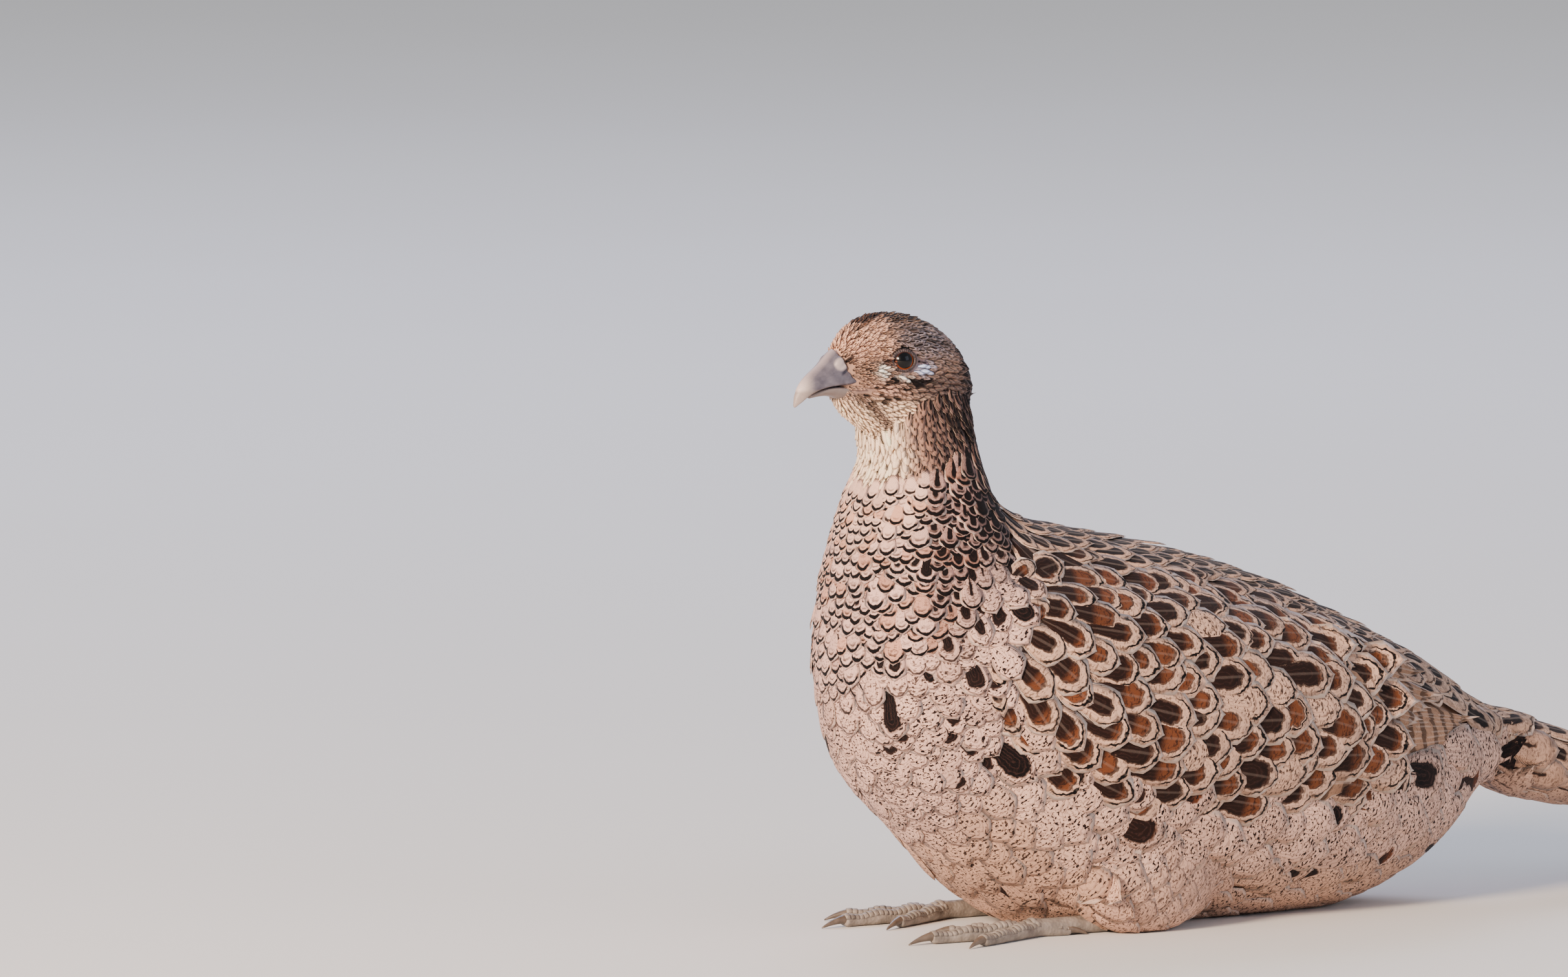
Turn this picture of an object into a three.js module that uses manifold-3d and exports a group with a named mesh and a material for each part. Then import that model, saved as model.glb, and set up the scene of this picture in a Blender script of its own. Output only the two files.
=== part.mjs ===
// A hen common pheasant, life size, crouched with its breast raised and its head turned a little to its left.
// Millimetres, +Z up. The bird faces -X, its left side is -Y, and it rests on the floor at Z = 0.
// The origin is on the floor, in the middle of the flat on which the belly lies.
import * as THREE from "three";
import { mergeVertices } from "three/addons/utils/BufferGeometryUtils.js";
import Module from "manifold-3d";

const wasm = await Module();
wasm.setup();

// Driving sizes
const GAP = 0.35; // between neighbouring parts
const BODY_SIDES = 28;
const HEAD_SIDES = 24;
const SIDES = [
  ["left", -1],
  ["right", 1],
];

// The body from the tail's root to the top of the neck. Each row is one cross-section:
// the point on the back's outline (x, z), the point on the belly's outline (x, z), and half the width.
const BODY_ROWS = [
  [117, 66, 113, 36, 19],
  [90, 84, 90, 14, 33],
  [60, 99, 60, 1, 45],
  [25, 115, 25, -2.2, 52],
  [-10, 126, -18, -2.2, 55],
  [-40, 133, -58, -1.6, 55],
  [-61, 138, -84, 10, 52],
  [-73, 142, -107, 31, 48],
  [-79, 147, -128, 53, 43],
  [-83, 153, -137, 84, 37],
  [-85, 160, -135, 118, 31],
  [-85.5, 166, -130, 142, 25],
  [-86, 173, -125.4, 158, 20.5],
  [-87, 182, -127, 170, 18.5],
  [-89, 192, -125.5, 182, 15],
];
const BODY_WIDEST = 0.55; // how far down a section its widest point is
const NECK_FROM = 10; // the row where the neck begins

// The head, forward of the middle of the neck. Each row is one cross-section:
// upper point (forward, z), lower point (forward, z), half the width. Heights are from HEAD_AT.
const HEAD_AT = [-105.2, 0, 190];
const HEAD_TURN = THREE.MathUtils.degToRad(6);
const HEAD_ROWS = [
  [-17.6, -1.5, -18, -7, 3],
  [-15.6, 2.8, -16.5, -14, 9],
  [-11.6, 9.2, -12, -19, 12.6],
  [-5, 14.8, -5, -22, 15],
  [4, 19, 4, -23, 15.8],
  [13, 20.4, 13, -22, 14.6],
  [21.4, 20, 22, -19.4, 12.4],
  [28, 17.6, 28, -16.2, 10],
  [32.2, 13.8, 32, -12.4, 7.8],
  [35, 10.4, 35.2, -8.6, 5.4],
];
const HEAD_WIDEST = 0.5;
const UPPER_BILL_ROWS = [
  [33.4, 11, 25, -3.9, 7.6],
  [37.8, 8, 31, -3.2, 7],
  [42, 4.2, 37.5, -3.1, 5.9],
  [46.4, 1.2, 42.6, -3.8, 4.5],
  [49.8, -1.8, 46.8, -5.6, 3],
  [51.9, -5.4, 50, -8, 1.7],
  [52.6, -9, 52.1, -9.6, 0.5],
];
const LOWER_BILL_ROWS = [
  [24.6, -4.8, 26, -10, 6.6],
  [31, -4, 33, -8.6, 6],
  [37.4, -3.8, 38.5, -7.4, 4.8],
  [42.4, -4.7, 43, -7.3, 3.3],
  [46.4, -6.4, 46.2, -7.7, 1.4],
];
const EYE = { forward: 14.7, side: 9, up: 4.9, radius: 5.6 };
const LID = { radius: 4.1, thick: 0.9, out: 4, turned: 17 }; // turned forwards, in degrees
const NOSTRIL = { forward: 35.4, side: 4.7, up: 4.9, long: 2.9, wide: 1.8, high: 2.5 };
const GAPE = { forward: 29.6, side: 8.6, up: -4, length: 8, deep: 5, high: 0.7, slope: 20 };

// The wing, laid on the body. Each row: the place along BODY_ROWS, the angles of its top and bottom edges
// in degrees from the top of the back, and how far it stands out at its middle.
const WING_ROWS = [
  [8.1, 64, 84, 0.4],
  [7.5, 50, 95, 3],
  [6.5, 41, 102, 4.6],
  [5.2, 37, 103, 5],
  [4, 36, 101, 4.8],
  [3, 37, 98, 4.2],
  [2, 39, 93, 3.2],
  [1.1, 43, 86, 2.2],
  [0.35, 50, 76, 1],
];
const WING_SUNK = 5; // how far its inner side starts inside the body, before it is cut to meet it
const WING_DIP = 1.5; // how far the edges of its core sink into the body
const WING_CORE_END = 7.3; // along WING_ROWS, past which only feathers go on

// The wing's feathers, tier over tier. The first and last feather of a tier have their root and tip here:
// a place along WING_ROWS, and a share across the wing from its top edge (0) to its bottom edge (1).
const WING_TIERS = [
  // primaries
  {
    count: 5,
    first: [[4.6, 0.6], [8.15, 0.34]],
    last: [[4.6, 0.84], [7, 0.88]],
    width: 13,
    lift: 1.8,
  },
  // secondaries
  {
    count: 5,
    first: [[3.8, 0.26], [7.1, 0.3]],
    last: [[3.5, 0.8], [5.6, 0.88]],
    width: 19,
    lift: 3.2,
  },
  // tertials
  {
    count: 3,
    first: [[3.4, 0.1], [6.7, 0.1]],
    last: [[3.3, 0.34], [6, 0.42]],
    width: 17,
    lift: 4.4,
  },
  // greater coverts
  {
    count: 5,
    first: [[2, 0.16], [4.3, 0.2]],
    last: [[2, 0.84], [4, 0.89]],
    width: 19,
    lift: 3.4,
  },
  // median coverts
  {
    count: 4,
    first: [[0.9, 0.2], [2.8, 0.16]],
    last: [[1, 0.8], [2.6, 0.88]],
    width: 21,
    lift: 3.2,
  },
];
const VANE = { thick: 0.7, rootLift: -1.3, tilt: 0.95 };
// The outline of a vane, root to tip: a share of its length and a share of its width
const VANE_OUTLINE = [
  [0, 0.55],
  [0.5, 1],
  [0.88, 0.74],
  [1, 0.14],
];
// The coverts round the tail's root, on from the end of the body, in rows like the body's
const TAIL_ROWS = [
  BODY_ROWS[0],
  [136, 60, 132, 31.5, 20.5],
  [158, 52, 155, 27.5, 20.5],
  [182, 43, 180, 26, 16],
  [204, 33, 204, 29, 5],
];
// The tail's feathers lie in pairs under one another, longest on top, folded like a low roof
const TAIL = { x: 116, z: 50, slope: 10.7, from: 36, pairs: 9, layer: 0.95, thick: 0.6, roof: 30 };
const TAIL_LENGTHS = { longest: 235, shortest: 96 };
const TAIL_WIDTHS = { central: 24, inner: 15, outer: 19.5, apart: 0.3, shift: 2.5 };

const THIGH = { x: -38, side: 34, z: 22, long: 30, wide: 15, high: 24 };
const FOOT = { x: -76, side: 29, shank: 28, radius: 3.4, sunk: 0.4 };
// Each toe: its heading in degrees, with 0 straight ahead and outwards positive, then its length, the length of
// its claw, and half its thickness
const TOES = [
  [-27, 30, 9, 3],
  [-2, 41, 10, 3.2],
  [24, 33, 9, 3],
  [168, 12, 7, 2.4],
];
const TOE_SIDES = 6;
const TOE_PADS = 3;

function catmullRom(weight, a, b, c, d) {
  const enter = (c - a) / 2;
  const leave = (d - b) / 2;
  const cubic = 2 * b - 2 * c + enter + leave;
  const square = 3 * c - 3 * b - 2 * enter - leave;
  return ((cubic * weight + square) * weight + enter) * weight + b;
}

// One cross-section's numbers at any place between the rows.
function rowAt(rows, place) {
  const last = rows.length - 1;
  const from = Math.min(Math.max(Math.floor(place), 0), last - 1);
  const [a, b, c, d] = [-1, 0, 1, 2].map(
    (step) => rows[Math.min(Math.max(from + step, 0), last)],
  );
  return b.map((_, i) => catmullRom(place - from, a[i], b[i], c[i], d[i]));
}

// A point of a cross-section. The angle runs from 0 on top, past a quarter turn at side, to half a turn below.
function sectionPoint(row, angle, side, widest, grow = 0) {
  const [upperX, upperZ, lowerX, lowerZ, half] = row;
  const upper = new THREE.Vector2(upperX, upperZ);
  const lower = new THREE.Vector2(lowerX, lowerZ);
  const outward = upper.clone().sub(lower).normalize().multiplyScalar(grow);
  upper.add(outward);
  lower.sub(outward);
  const middle = upper.clone().lerp(lower, widest);
  const rise = Math.cos(angle);
  const at = middle.clone().lerp(rise > 0 ? upper : lower, Math.abs(rise));
  return new THREE.Vector3(at.x, side * (half + grow) * Math.sin(angle), at.y);
}

function ringAt(rows, place, sides, widest, grow) {
  return Array.from({ length: sides }, (_, i) => {
    const turn = (2 * Math.PI * i) / sides;
    return turn <= Math.PI
      ? sectionPoint(rowAt(rows, place), turn, 1, widest, grow)
      : sectionPoint(rowAt(rows, place), 2 * Math.PI - turn, -1, widest, grow);
  });
}

// A closed skin over a line of rings that all have the same number of points.
function skinOver(rings) {
  const sides = rings[0].length;
  const points = rings.flat();
  const faces = [];
  for (let r = 0; r + 1 < rings.length; r++)
    for (let i = 0; i < sides; i++) {
      const a = r * sides + i;
      const b = r * sides + ((i + 1) % sides);
      faces.push(a, b, b + sides, a, b + sides, a + sides);
    }
  const cap = (ring, first, turned) => {
    const middle = points.length;
    const sum = ring.reduce((s, p) => s.add(p), new THREE.Vector3());
    points.push(sum.divideScalar(sides));
    for (let i = 0; i < sides; i++) {
      const [a, b] = [first + i, first + ((i + 1) % sides)];
      faces.push(middle, turned ? b : a, turned ? a : b);
    }
  };
  cap(rings[0], 0, true);
  cap(rings.at(-1), (rings.length - 1) * sides, false);
  const geometry = new THREE.BufferGeometry().setFromPoints(points);
  geometry.setIndex(faces);
  return geometry;
}

// A three.js geometry as a solid. Its shared corners are merged, and a solid that is inside out is turned.
function solid(geometry) {
  const bare = new THREE.BufferGeometry();
  bare.setAttribute("position", geometry.getAttribute("position"));
  bare.setIndex(geometry.index);
  const merged = mergeVertices(bare, 1e-4);
  const triVerts = new Uint32Array(merged.index.array);
  const make = () =>
    new wasm.Manifold(
      new wasm.Mesh({
        numProp: 3,
        vertProperties: new Float32Array(merged.attributes.position.array),
        triVerts,
      }),
    );
  const made = make();
  if (made.volume() > 0) return made;
  for (let i = 0; i < triVerts.length; i += 3)
    [triVerts[i + 1], triVerts[i + 2]] = [triVerts[i + 2], triVerts[i + 1]];
  return make();
}

function geometryOf(made) {
  const mesh = made.getMesh();
  const geometry = new THREE.BufferGeometry();
  geometry.setAttribute(
    "position",
    new THREE.BufferAttribute(new Float32Array(mesh.vertProperties), 3),
  );
  geometry.setIndex(new THREE.BufferAttribute(new Uint32Array(mesh.triVerts), 1));
  return geometry;
}

// Only the largest closed piece of a solid.
function largest(made) {
  const pieces = made.decompose();
  return pieces.reduce((a, b) => (b.volume() > a.volume() ? b : a));
}

function join(pieces) {
  return pieces.reduce((all, piece) => all.add(piece));
}

// Everything under the floor is cut off, which leaves small flats at one level.
const underFloor = solid(new THREE.BoxGeometry(900, 400, 100).translate(100, 0, -50));

// A closed plate between two grids of points. Both faces are split into triangles alike.
function plate(outer, inner) {
  const rows = outer.length;
  const columns = outer[0].length;
  const below = rows * columns;
  const at = (r, c) => r * columns + c;
  const faces = [];
  for (let r = 0; r + 1 < rows; r++)
    for (let c = 0; c + 1 < columns; c++) {
      const [a, b, d, e] = [at(r, c), at(r, c + 1), at(r + 1, c + 1), at(r + 1, c)];
      faces.push(a, b, d, a, d, e);
      faces.push(below + a, below + d, below + b, below + a, below + e, below + d);
    }
  const rim = [];
  for (let c = 0; c < columns - 1; c++) rim.push(at(0, c));
  for (let r = 0; r < rows - 1; r++) rim.push(at(r, columns - 1));
  for (let c = columns - 1; c > 0; c--) rim.push(at(rows - 1, c));
  for (let r = rows - 1; r > 0; r--) rim.push(at(r, 0));
  rim.forEach((a, i) => {
    const b = rim[(i + 1) % rim.length];
    faces.push(b, a, below + a, b, below + a, below + b);
  });
  const geometry = new THREE.BufferGeometry().setFromPoints([...outer.flat(), ...inner.flat()]);
  geometry.setIndex(faces);
  return geometry;
}

function loft(rows, from, to, steps, sides, widest, grow = 0) {
  const rings = Array.from({ length: steps + 1 }, (_, i) =>
    ringAt(rows, from + ((to - from) * i) / steps, sides, widest, grow),
  );
  return solid(skinOver(rings));
}

// The outward direction of a section's plane, from the tail towards the head.
function planeNormal(rows, place) {
  const [upperX, upperZ, lowerX, lowerZ] = rowAt(rows, place);
  return new THREE.Vector3(lowerZ - upperZ, 0, upperX - lowerX).normalize();
}

function bodyRings(from, to, steps, grow = 0) {
  return Array.from({ length: steps + 1 }, (_, i) =>
    ringAt(BODY_ROWS, from + ((to - from) * i) / steps, BODY_SIDES, BODY_WIDEST, grow),
  );
}

// Torso
const TORSO_STEPS = 22;
const torso = largest(
  solid(skinOver(bodyRings(0, NECK_FROM, TORSO_STEPS))).subtract(underFloor),
);
const grownTorso = solid(skinOver(bodyRings(0, NECK_FROM, TORSO_STEPS, GAP)));

// The head's own parts are made forward along +X and then set on the neck.
const ontoNeck = new THREE.Matrix4()
  .makeTranslation(...HEAD_AT)
  .multiply(new THREE.Matrix4().makeRotationZ(HEAD_TURN + Math.PI));
function setOnNeck(made) {
  return made.transform(ontoNeck.elements);
}

function headLoft(grow = 0) {
  return loft(HEAD_ROWS, 0, HEAD_ROWS.length - 1, 16, HEAD_SIDES, HEAD_WIDEST, grow);
}
function upperBill(grow = 0) {
  return loft(UPPER_BILL_ROWS, 0, UPPER_BILL_ROWS.length - 1, 10, 14, 0.86, grow);
}
function lowerBill(grow = 0) {
  return loft(LOWER_BILL_ROWS, 0, LOWER_BILL_ROWS.length - 1, 7, 12, 0.2, grow);
}
function ball(radius, x, y, z) {
  return solid(new THREE.SphereGeometry(radius, 14, 8).translate(x, y, z));
}

const eyeballs = SIDES.map(([, side]) =>
  ball(EYE.radius, EYE.forward, -side * EYE.side, EYE.up),
);
const sockets = SIDES.map(([, side]) =>
  ball(EYE.radius + GAP, EYE.forward, -side * EYE.side, EYE.up),
);
const lids = SIDES.map(([, side]) =>
  solid(
    new THREE.TorusGeometry(LID.radius, LID.thick, 5, 14)
      .rotateX(Math.PI / 2)
      .translate(0, -side * LID.out, 0)
      .rotateZ(side * THREE.MathUtils.degToRad(LID.turned))
      .translate(EYE.forward, -side * EYE.side, EYE.up),
  ),
);
const gapes = SIDES.map(([, side]) =>
  solid(
    new THREE.BoxGeometry(GAPE.length, GAPE.deep, GAPE.high)
      .rotateY(THREE.MathUtils.degToRad(-GAPE.slope))
      .translate(GAPE.forward, -side * GAPE.side, GAPE.up),
  ),
);
// The flap over each nostril, a swollen oval on the root of the bill
const flaps = SIDES.map(([, side]) =>
  solid(
    new THREE.SphereGeometry(1, 10, 7)
      .scale(NOSTRIL.long, NOSTRIL.wide, NOSTRIL.high)
      .rotateY(THREE.MathUtils.degToRad(35))
      .translate(NOSTRIL.forward, -side * NOSTRIL.side, NOSTRIL.up),
  ),
);
const headLocal = largest(
  join([headLoft(), ...lids])
    .subtract(join(sockets))
    .subtract(join(gapes))
    .subtract(upperBill(GAP))
    .subtract(join(flaps.map((flap) => flap.scale([1.1, 1.1, 1.1]).translate([-3.4, 0, -0.5]))))
    .subtract(lowerBill(GAP)),
);
const upperLocal = largest(join([upperBill(), ...flaps]).subtract(lowerBill(GAP)));
const head = setOnNeck(headLocal);
const grownHead = setOnNeck(headLoft(GAP));

// Neck
const neckRings = bodyRings(NECK_FROM, BODY_ROWS.length - 1, 9).map((ring) => {
  const lift = planeNormal(BODY_ROWS, NECK_FROM).multiplyScalar(GAP);
  return ring.map((p) => p.add(lift));
});
const neck = largest(solid(skinOver(neckRings)).subtract(grownHead));

// Wings
const WING_STEPS = 13;
const WING_COLUMNS = 7;
function onBody(side, place, degrees, lift) {
  const angle = THREE.MathUtils.degToRad(degrees);
  return sectionPoint(rowAt(BODY_ROWS, place), angle, side, BODY_WIDEST, lift);
}
// A point over the wing's rounded surface, at a place along it and a share across it
function onWing(side, along, share, lift, dip = 0) {
  const [place, top, bottom, stands] = rowAt(WING_ROWS, along);
  const fromMiddle = Math.min(Math.abs(2 * share - 1), 1);
  const rounded = (stands + dip) * (1 - fromMiddle * fromMiddle) - dip;
  return onBody(side, place, top + (bottom - top) * share, rounded + lift);
}
function wingCore(side) {
  const outer = [];
  const inner = [];
  for (let i = 0; i <= WING_STEPS; i++) {
    const along = (WING_CORE_END * i) / WING_STEPS;
    const [place, top, bottom] = rowAt(WING_ROWS, along);
    const shares = Array.from({ length: WING_COLUMNS }, (_, c) => c / (WING_COLUMNS - 1));
    outer.push(shares.map((share) => onWing(side, along, share, 0, WING_DIP)));
    inner.push(
      shares.map((share) => onBody(side, place, top + (bottom - top) * share, -WING_SUNK)),
    );
  }
  return solid(plate(outer, inner));
}
function mix(a, b, share) {
  return a + (b - a) * share;
}
function wingVane(side, root, tip, width, tipLift) {
  const outer = [];
  const inner = [];
  for (const [share, wide] of VANE_OUTLINE) {
    const along = mix(root[0], tip[0], share);
    const across = mix(root[1], tip[1], share);
    const edges = [onWing(side, along, 0, 0), onWing(side, along, 1, 0)];
    const reach = (0.5 * width * wide) / Math.max(edges[0].distanceTo(edges[1]), width);
    const lift = mix(VANE.rootLift, tipLift, share);
    for (const [grid, down] of [[outer, 0], [inner, VANE.thick]])
      grid.push(
        [-1, 0, 1].map((edge) =>
          onWing(side, along, across + edge * reach, lift + edge * VANE.tilt * wide - down),
        ),
      );
  }
  return solid(plate(outer, inner));
}
function wing(side) {
  const pieces = [wingCore(side)];
  for (const { count, first, last, width, lift } of WING_TIERS)
    for (let i = 0; i < count; i++) {
      const share = i / (count - 1);
      const [root, tip] = first.map((place, end) =>
        place.map((value, axis) => mix(value, last[end][axis], share)),
      );
      pieces.push(wingVane(side, root, tip, width, lift));
    }
  return join(pieces);
}
const wings = SIDES.map(([, side]) => largest(wing(side).subtract(grownTorso)));

// Tail
const tailRings = Array.from({ length: 8 }, (_, i) =>
  ringAt(TAIL_ROWS, ((TAIL_ROWS.length - 1) * i) / 7, BODY_SIDES, BODY_WIDEST),
).map((ring) => {
  const away = planeNormal(BODY_ROWS, 0).multiplyScalar(-GAP);
  return ring.map((p) => p.add(away));
});
// One tail feather, from inside the coverts to its tip, between two distances from the middle line
function tailVane(length, layer, near, far, columns = 3) {
  const slope = THREE.MathUtils.degToRad(TAIL.slope);
  const outer = [];
  const inner = [];
  const middle = (near + far) / 2;
  for (const [share, wide] of VANE_OUTLINE) {
    const distance = mix(TAIL.from, length, share);
    const x = TAIL.x + distance * Math.cos(slope);
    const top = TAIL.z - distance * Math.sin(slope) - layer * TAIL.layer;
    for (const [grid, down] of [[outer, 0], [inner, TAIL.thick]])
      grid.push(
        Array.from({ length: columns }, (_, c) => {
          const y = mix(middle, mix(near, far, c / (columns - 1)), wide);
          return new THREE.Vector3(x, y, top - down - (y * y) / (2 * TAIL.roof));
        }),
      );
  }
  return solid(plate(outer, inner));
}
const tailVanes = SIDES.map(([, side], i) => {
  const { central, shift } = TAIL_WIDTHS;
  const [near, far] = [-0.5, 0.5].map((half) => side * shift + half * central);
  return tailVane(TAIL_LENGTHS.longest, i, near, far, 5);
});
for (let pair = 1; pair < TAIL.pairs; pair++)
  for (const [, side] of SIDES) {
    const share = pair / (TAIL.pairs - 1);
    const length = mix(TAIL_LENGTHS.longest, TAIL_LENGTHS.shortest, share);
    const { inner, outer, apart } = TAIL_WIDTHS;
    tailVanes.push(tailVane(length, pair + 1, side * apart, side * mix(inner, outer, share)));
  }
const tail = largest(join([solid(skinOver(tailRings)), ...tailVanes]).subtract(underFloor));

// Legs
function thigh(side, grow = 0) {
  return solid(
    new THREE.SphereGeometry(1, 16, 10)
      .scale(THIGH.long + grow, THIGH.wide + grow, THIGH.high + grow)
      .translate(THIGH.x, side * THIGH.side, THIGH.z),
  );
}
const legs = SIDES.map(([, side]) =>
  largest(thigh(side).subtract(grownTorso).subtract(underFloor)),
);

// Feet
function toe(side, [degrees, length, claw, thick]) {
  const heading = THREE.MathUtils.degToRad(180 - side * degrees);
  const along = new THREE.Vector3(Math.cos(heading), Math.sin(heading), 0);
  const across = new THREE.Vector3(-Math.sin(heading), Math.cos(heading), 0);
  const ringOf = (distance, radius, height) =>
    Array.from({ length: TOE_SIDES }, (_, i) => {
      const turn = (2 * Math.PI * i) / TOE_SIDES;
      return new THREE.Vector3(FOOT.x, side * FOOT.side, height + radius * Math.sin(turn))
        .addScaledVector(along, distance)
        .addScaledVector(across, radius * Math.cos(turn));
    });
  const rings = [];
  for (let i = 0; i <= 6; i++) {
    const share = i / 6;
    const pad = 1 + 0.1 * Math.cos(2 * Math.PI * TOE_PADS * share);
    const radius = thick * (1 - 0.34 * share) * pad;
    rings.push(ringOf(length * share, radius, radius - FOOT.sunk));
  }
  for (let i = 1; i <= 3; i++) {
    const share = i / 3;
    const radius = 0.5 * thick * (1 - share) + 0.3;
    const height = 0.7 * thick * (1 - share * share) + 0.5;
    rings.push(ringOf(length + claw * (share - 0.1), radius, height));
  }
  return solid(skinOver(rings));
}
function foot(side) {
  const shank = solid(
    new THREE.CylinderGeometry(FOOT.radius, FOOT.radius, FOOT.shank, TOE_SIDES)
      .rotateZ(Math.PI / 2)
      .translate(FOOT.x + FOOT.shank / 2, side * FOOT.side, FOOT.radius - FOOT.sunk),
  );
  return join([shank, ...TOES.map((sizes) => toe(side, sizes))]);
}
const feet = SIDES.map(([, side]) =>
  largest(
    foot(side).subtract(grownTorso).subtract(thigh(side, GAP)).subtract(underFloor),
  ),
);

// Materials
function material(name, color, roughness = 0.8) {
  return new THREE.MeshStandardMaterial({ name, color, roughness, metalness: 0 });
}
const plumage = material("buff_plumage", "#b59a86");
const faceFeathers = material("face_feathers", "#a78a76");
const hornBill = material("horn_bill", "#8f8d94", 0.45);
const eyeSurface = material("eye_surface", "#3a2413", 0.05);
const wingFeathers = material("wing_feathers", "#8d6a52");
const tailFeathers = material("tail_feathers", "#a88464");
const legSkin = material("leg_skin", "#8a8076", 0.55);

const pheasant = new THREE.Group();
function add(name, made, surface) {
  const mesh = new THREE.Mesh(geometryOf(made), surface);
  mesh.name = name;
  pheasant.add(mesh);
}
add("torso", torso, plumage);
add("neck", neck, plumage);
add("head", head, faceFeathers);
add("bill_upper", setOnNeck(upperLocal), hornBill);
add("bill_lower", setOnNeck(lowerBill()), hornBill);
SIDES.forEach(([name], i) => {
  add("eye_" + name, setOnNeck(eyeballs[i]), eyeSurface);
  add("wing_" + name, wings[i], wingFeathers);
  add("leg_" + name, legs[i], plumage);
  add("foot_" + name, feet[i], legSkin);
});
add("tail", tail, tailFeathers);

export default pheasant;
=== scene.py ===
# %% [markdown]
# # A hen common pheasant, life size
#
# The bird crouches with its breast raised and its head turned a little to its left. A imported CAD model
# gives the frame. This script gives the looks: one skin, a coat of single feathers over it, the wings and
# the tail feather by feather, the bill, the eyes, the feet, the light and the camera.
# Lengths are in millimetres until a mesh is made, and then in metres. The bird faces -X, its left is -Y.

# %% Load the frame
import itertools
import math

import bmesh
import bpy
import numpy as np
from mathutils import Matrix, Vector
from mathutils.bvhtree import BVHTree
from mathutils.kdtree import KDTree


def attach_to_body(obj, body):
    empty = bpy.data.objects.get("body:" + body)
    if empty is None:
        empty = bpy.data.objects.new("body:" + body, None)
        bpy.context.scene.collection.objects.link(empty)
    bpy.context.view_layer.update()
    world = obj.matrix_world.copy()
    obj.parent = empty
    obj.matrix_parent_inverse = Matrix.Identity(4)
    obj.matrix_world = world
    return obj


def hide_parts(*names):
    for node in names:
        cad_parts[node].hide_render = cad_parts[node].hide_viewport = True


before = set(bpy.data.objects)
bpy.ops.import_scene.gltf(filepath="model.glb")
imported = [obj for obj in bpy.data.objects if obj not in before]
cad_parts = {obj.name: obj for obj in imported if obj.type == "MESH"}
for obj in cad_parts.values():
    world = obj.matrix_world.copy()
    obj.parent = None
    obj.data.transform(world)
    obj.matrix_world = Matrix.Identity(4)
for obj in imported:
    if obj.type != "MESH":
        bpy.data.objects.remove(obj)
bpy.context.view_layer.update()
MM = 0.001
SIDES = {"left": -1, "right": 1}
chance = np.random.default_rng(11)

# %% [markdown]
# ## The shape of the bird
#
# The body is a row of cross-sections from the tail coverts to the top of the neck. Each has a point on
# the back's outline, a point on the belly's outline and half a width. A smooth curve runs from row to row,
# so any point of the surface has two numbers: a place along the rows and an angle from the top.
# The rows are the ones that the solids have, so feathers land where the solids are.

# %% Cross-sections of the body, head and bill
BODY_ROWS = np.array([
    [204, 33, 204, 29, 5], [182, 43, 180, 26, 16], [158, 52, 155, 27.5, 20.5],
    [136, 60, 132, 31.5, 20.5], [117, 66, 113, 36, 19], [90, 84, 90, 14, 33], [60, 99, 60, 1, 45],
    [25, 115, 25, -2.2, 52], [-10, 126, -18, -2.2, 55], [-40, 133, -58, -1.6, 55],
    [-61, 138, -84, 10, 52], [-73, 142, -107, 31, 48], [-79, 147, -128, 53, 43],
    [-83, 153, -137, 84, 37], [-85, 160, -135, 118, 31], [-85.5, 166, -130, 142, 25],
    [-86, 173, -125.4, 158, 20.5], [-87, 182, -127, 170, 18.5], [-89, 192, -125.5, 182, 15],
])
TAIL_PLACES = 4  # the body's place 0 is the fifth row; the ones before it are under the tail coverts
BODY_WIDEST = 0.55
HEAD_ROWS = np.array([
    [-17.6, -1.5, -18, -7, 3], [-15.6, 2.8, -16.5, -14, 9], [-11.6, 9.2, -12, -19, 12.6],
    [-5, 14.8, -5, -22, 15], [4, 19, 4, -23, 15.8], [13, 20.4, 13, -22, 14.6], [21.4, 20, 22, -19.4, 12.4],
    [28, 17.6, 28, -16.2, 10], [32.2, 13.8, 32, -12.4, 7.8], [35, 10.4, 35.2, -8.6, 5.4],
])
HEAD_WIDEST = 0.5
UPPER_BILL_ROWS = np.array([
    [33.4, 11, 25, -3.9, 7.6], [37.8, 8, 31, -3.2, 7], [42, 4.2, 37.5, -3.1, 5.9],
    [46.4, 1.2, 42.6, -3.8, 4.5], [49.8, -1.8, 46.8, -5.6, 3], [51.9, -5.4, 50, -8, 1.7],
    [52.6, -9, 52.1, -9.6, 0.5],
])
UPPER_BILL_WIDEST = 0.86
LOWER_BILL_ROWS = np.array([
    [24.6, -4.8, 26, -10, 6.6], [31, -4, 33, -8.6, 6], [37.4, -3.8, 38.5, -7.4, 4.8],
    [42.4, -4.7, 43, -7.3, 3.3], [46.4, -6.4, 46.2, -7.7, 1.4],
])
LOWER_BILL_WIDEST = 0.2
# The wing on the body: place, angles of its top and bottom edges in degrees, and how far it stands out
WING_ROWS = np.array([
    [8.1, 64, 84, 0.4], [7.5, 50, 95, 3], [6.5, 41, 102, 4.6], [5.2, 37, 103, 5], [4, 36, 101, 4.8],
    [3, 37, 98, 4.2], [2, 39, 93, 3.2], [1.1, 43, 86, 2.2], [0.35, 50, 76, 1],
])
WING_DIP = 1.5


def unit(vectors):
    """The same directions, each one long."""
    return vectors / np.maximum(np.linalg.norm(vectors, axis=-1, keepdims=True), 1e-9)


def rows_at(rows, places):
    """A table's numbers at any places between its rows, on a Catmull-Rom curve."""
    places = np.asarray(places, float)
    last = len(rows) - 1
    first = np.clip(np.floor(places).astype(int), 0, last - 1)
    a, b, c, d = (rows[np.clip(first + step, 0, last)] for step in (-1, 0, 1, 2))
    weight = (places - first)[..., None]
    enter, leave = (c - a) / 2, (d - b) / 2
    cubic = 2 * b - 2 * c + enter + leave
    square = 3 * c - 3 * b - 2 * enter - leave
    return ((cubic * weight + square) * weight + enter) * weight + b


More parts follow.
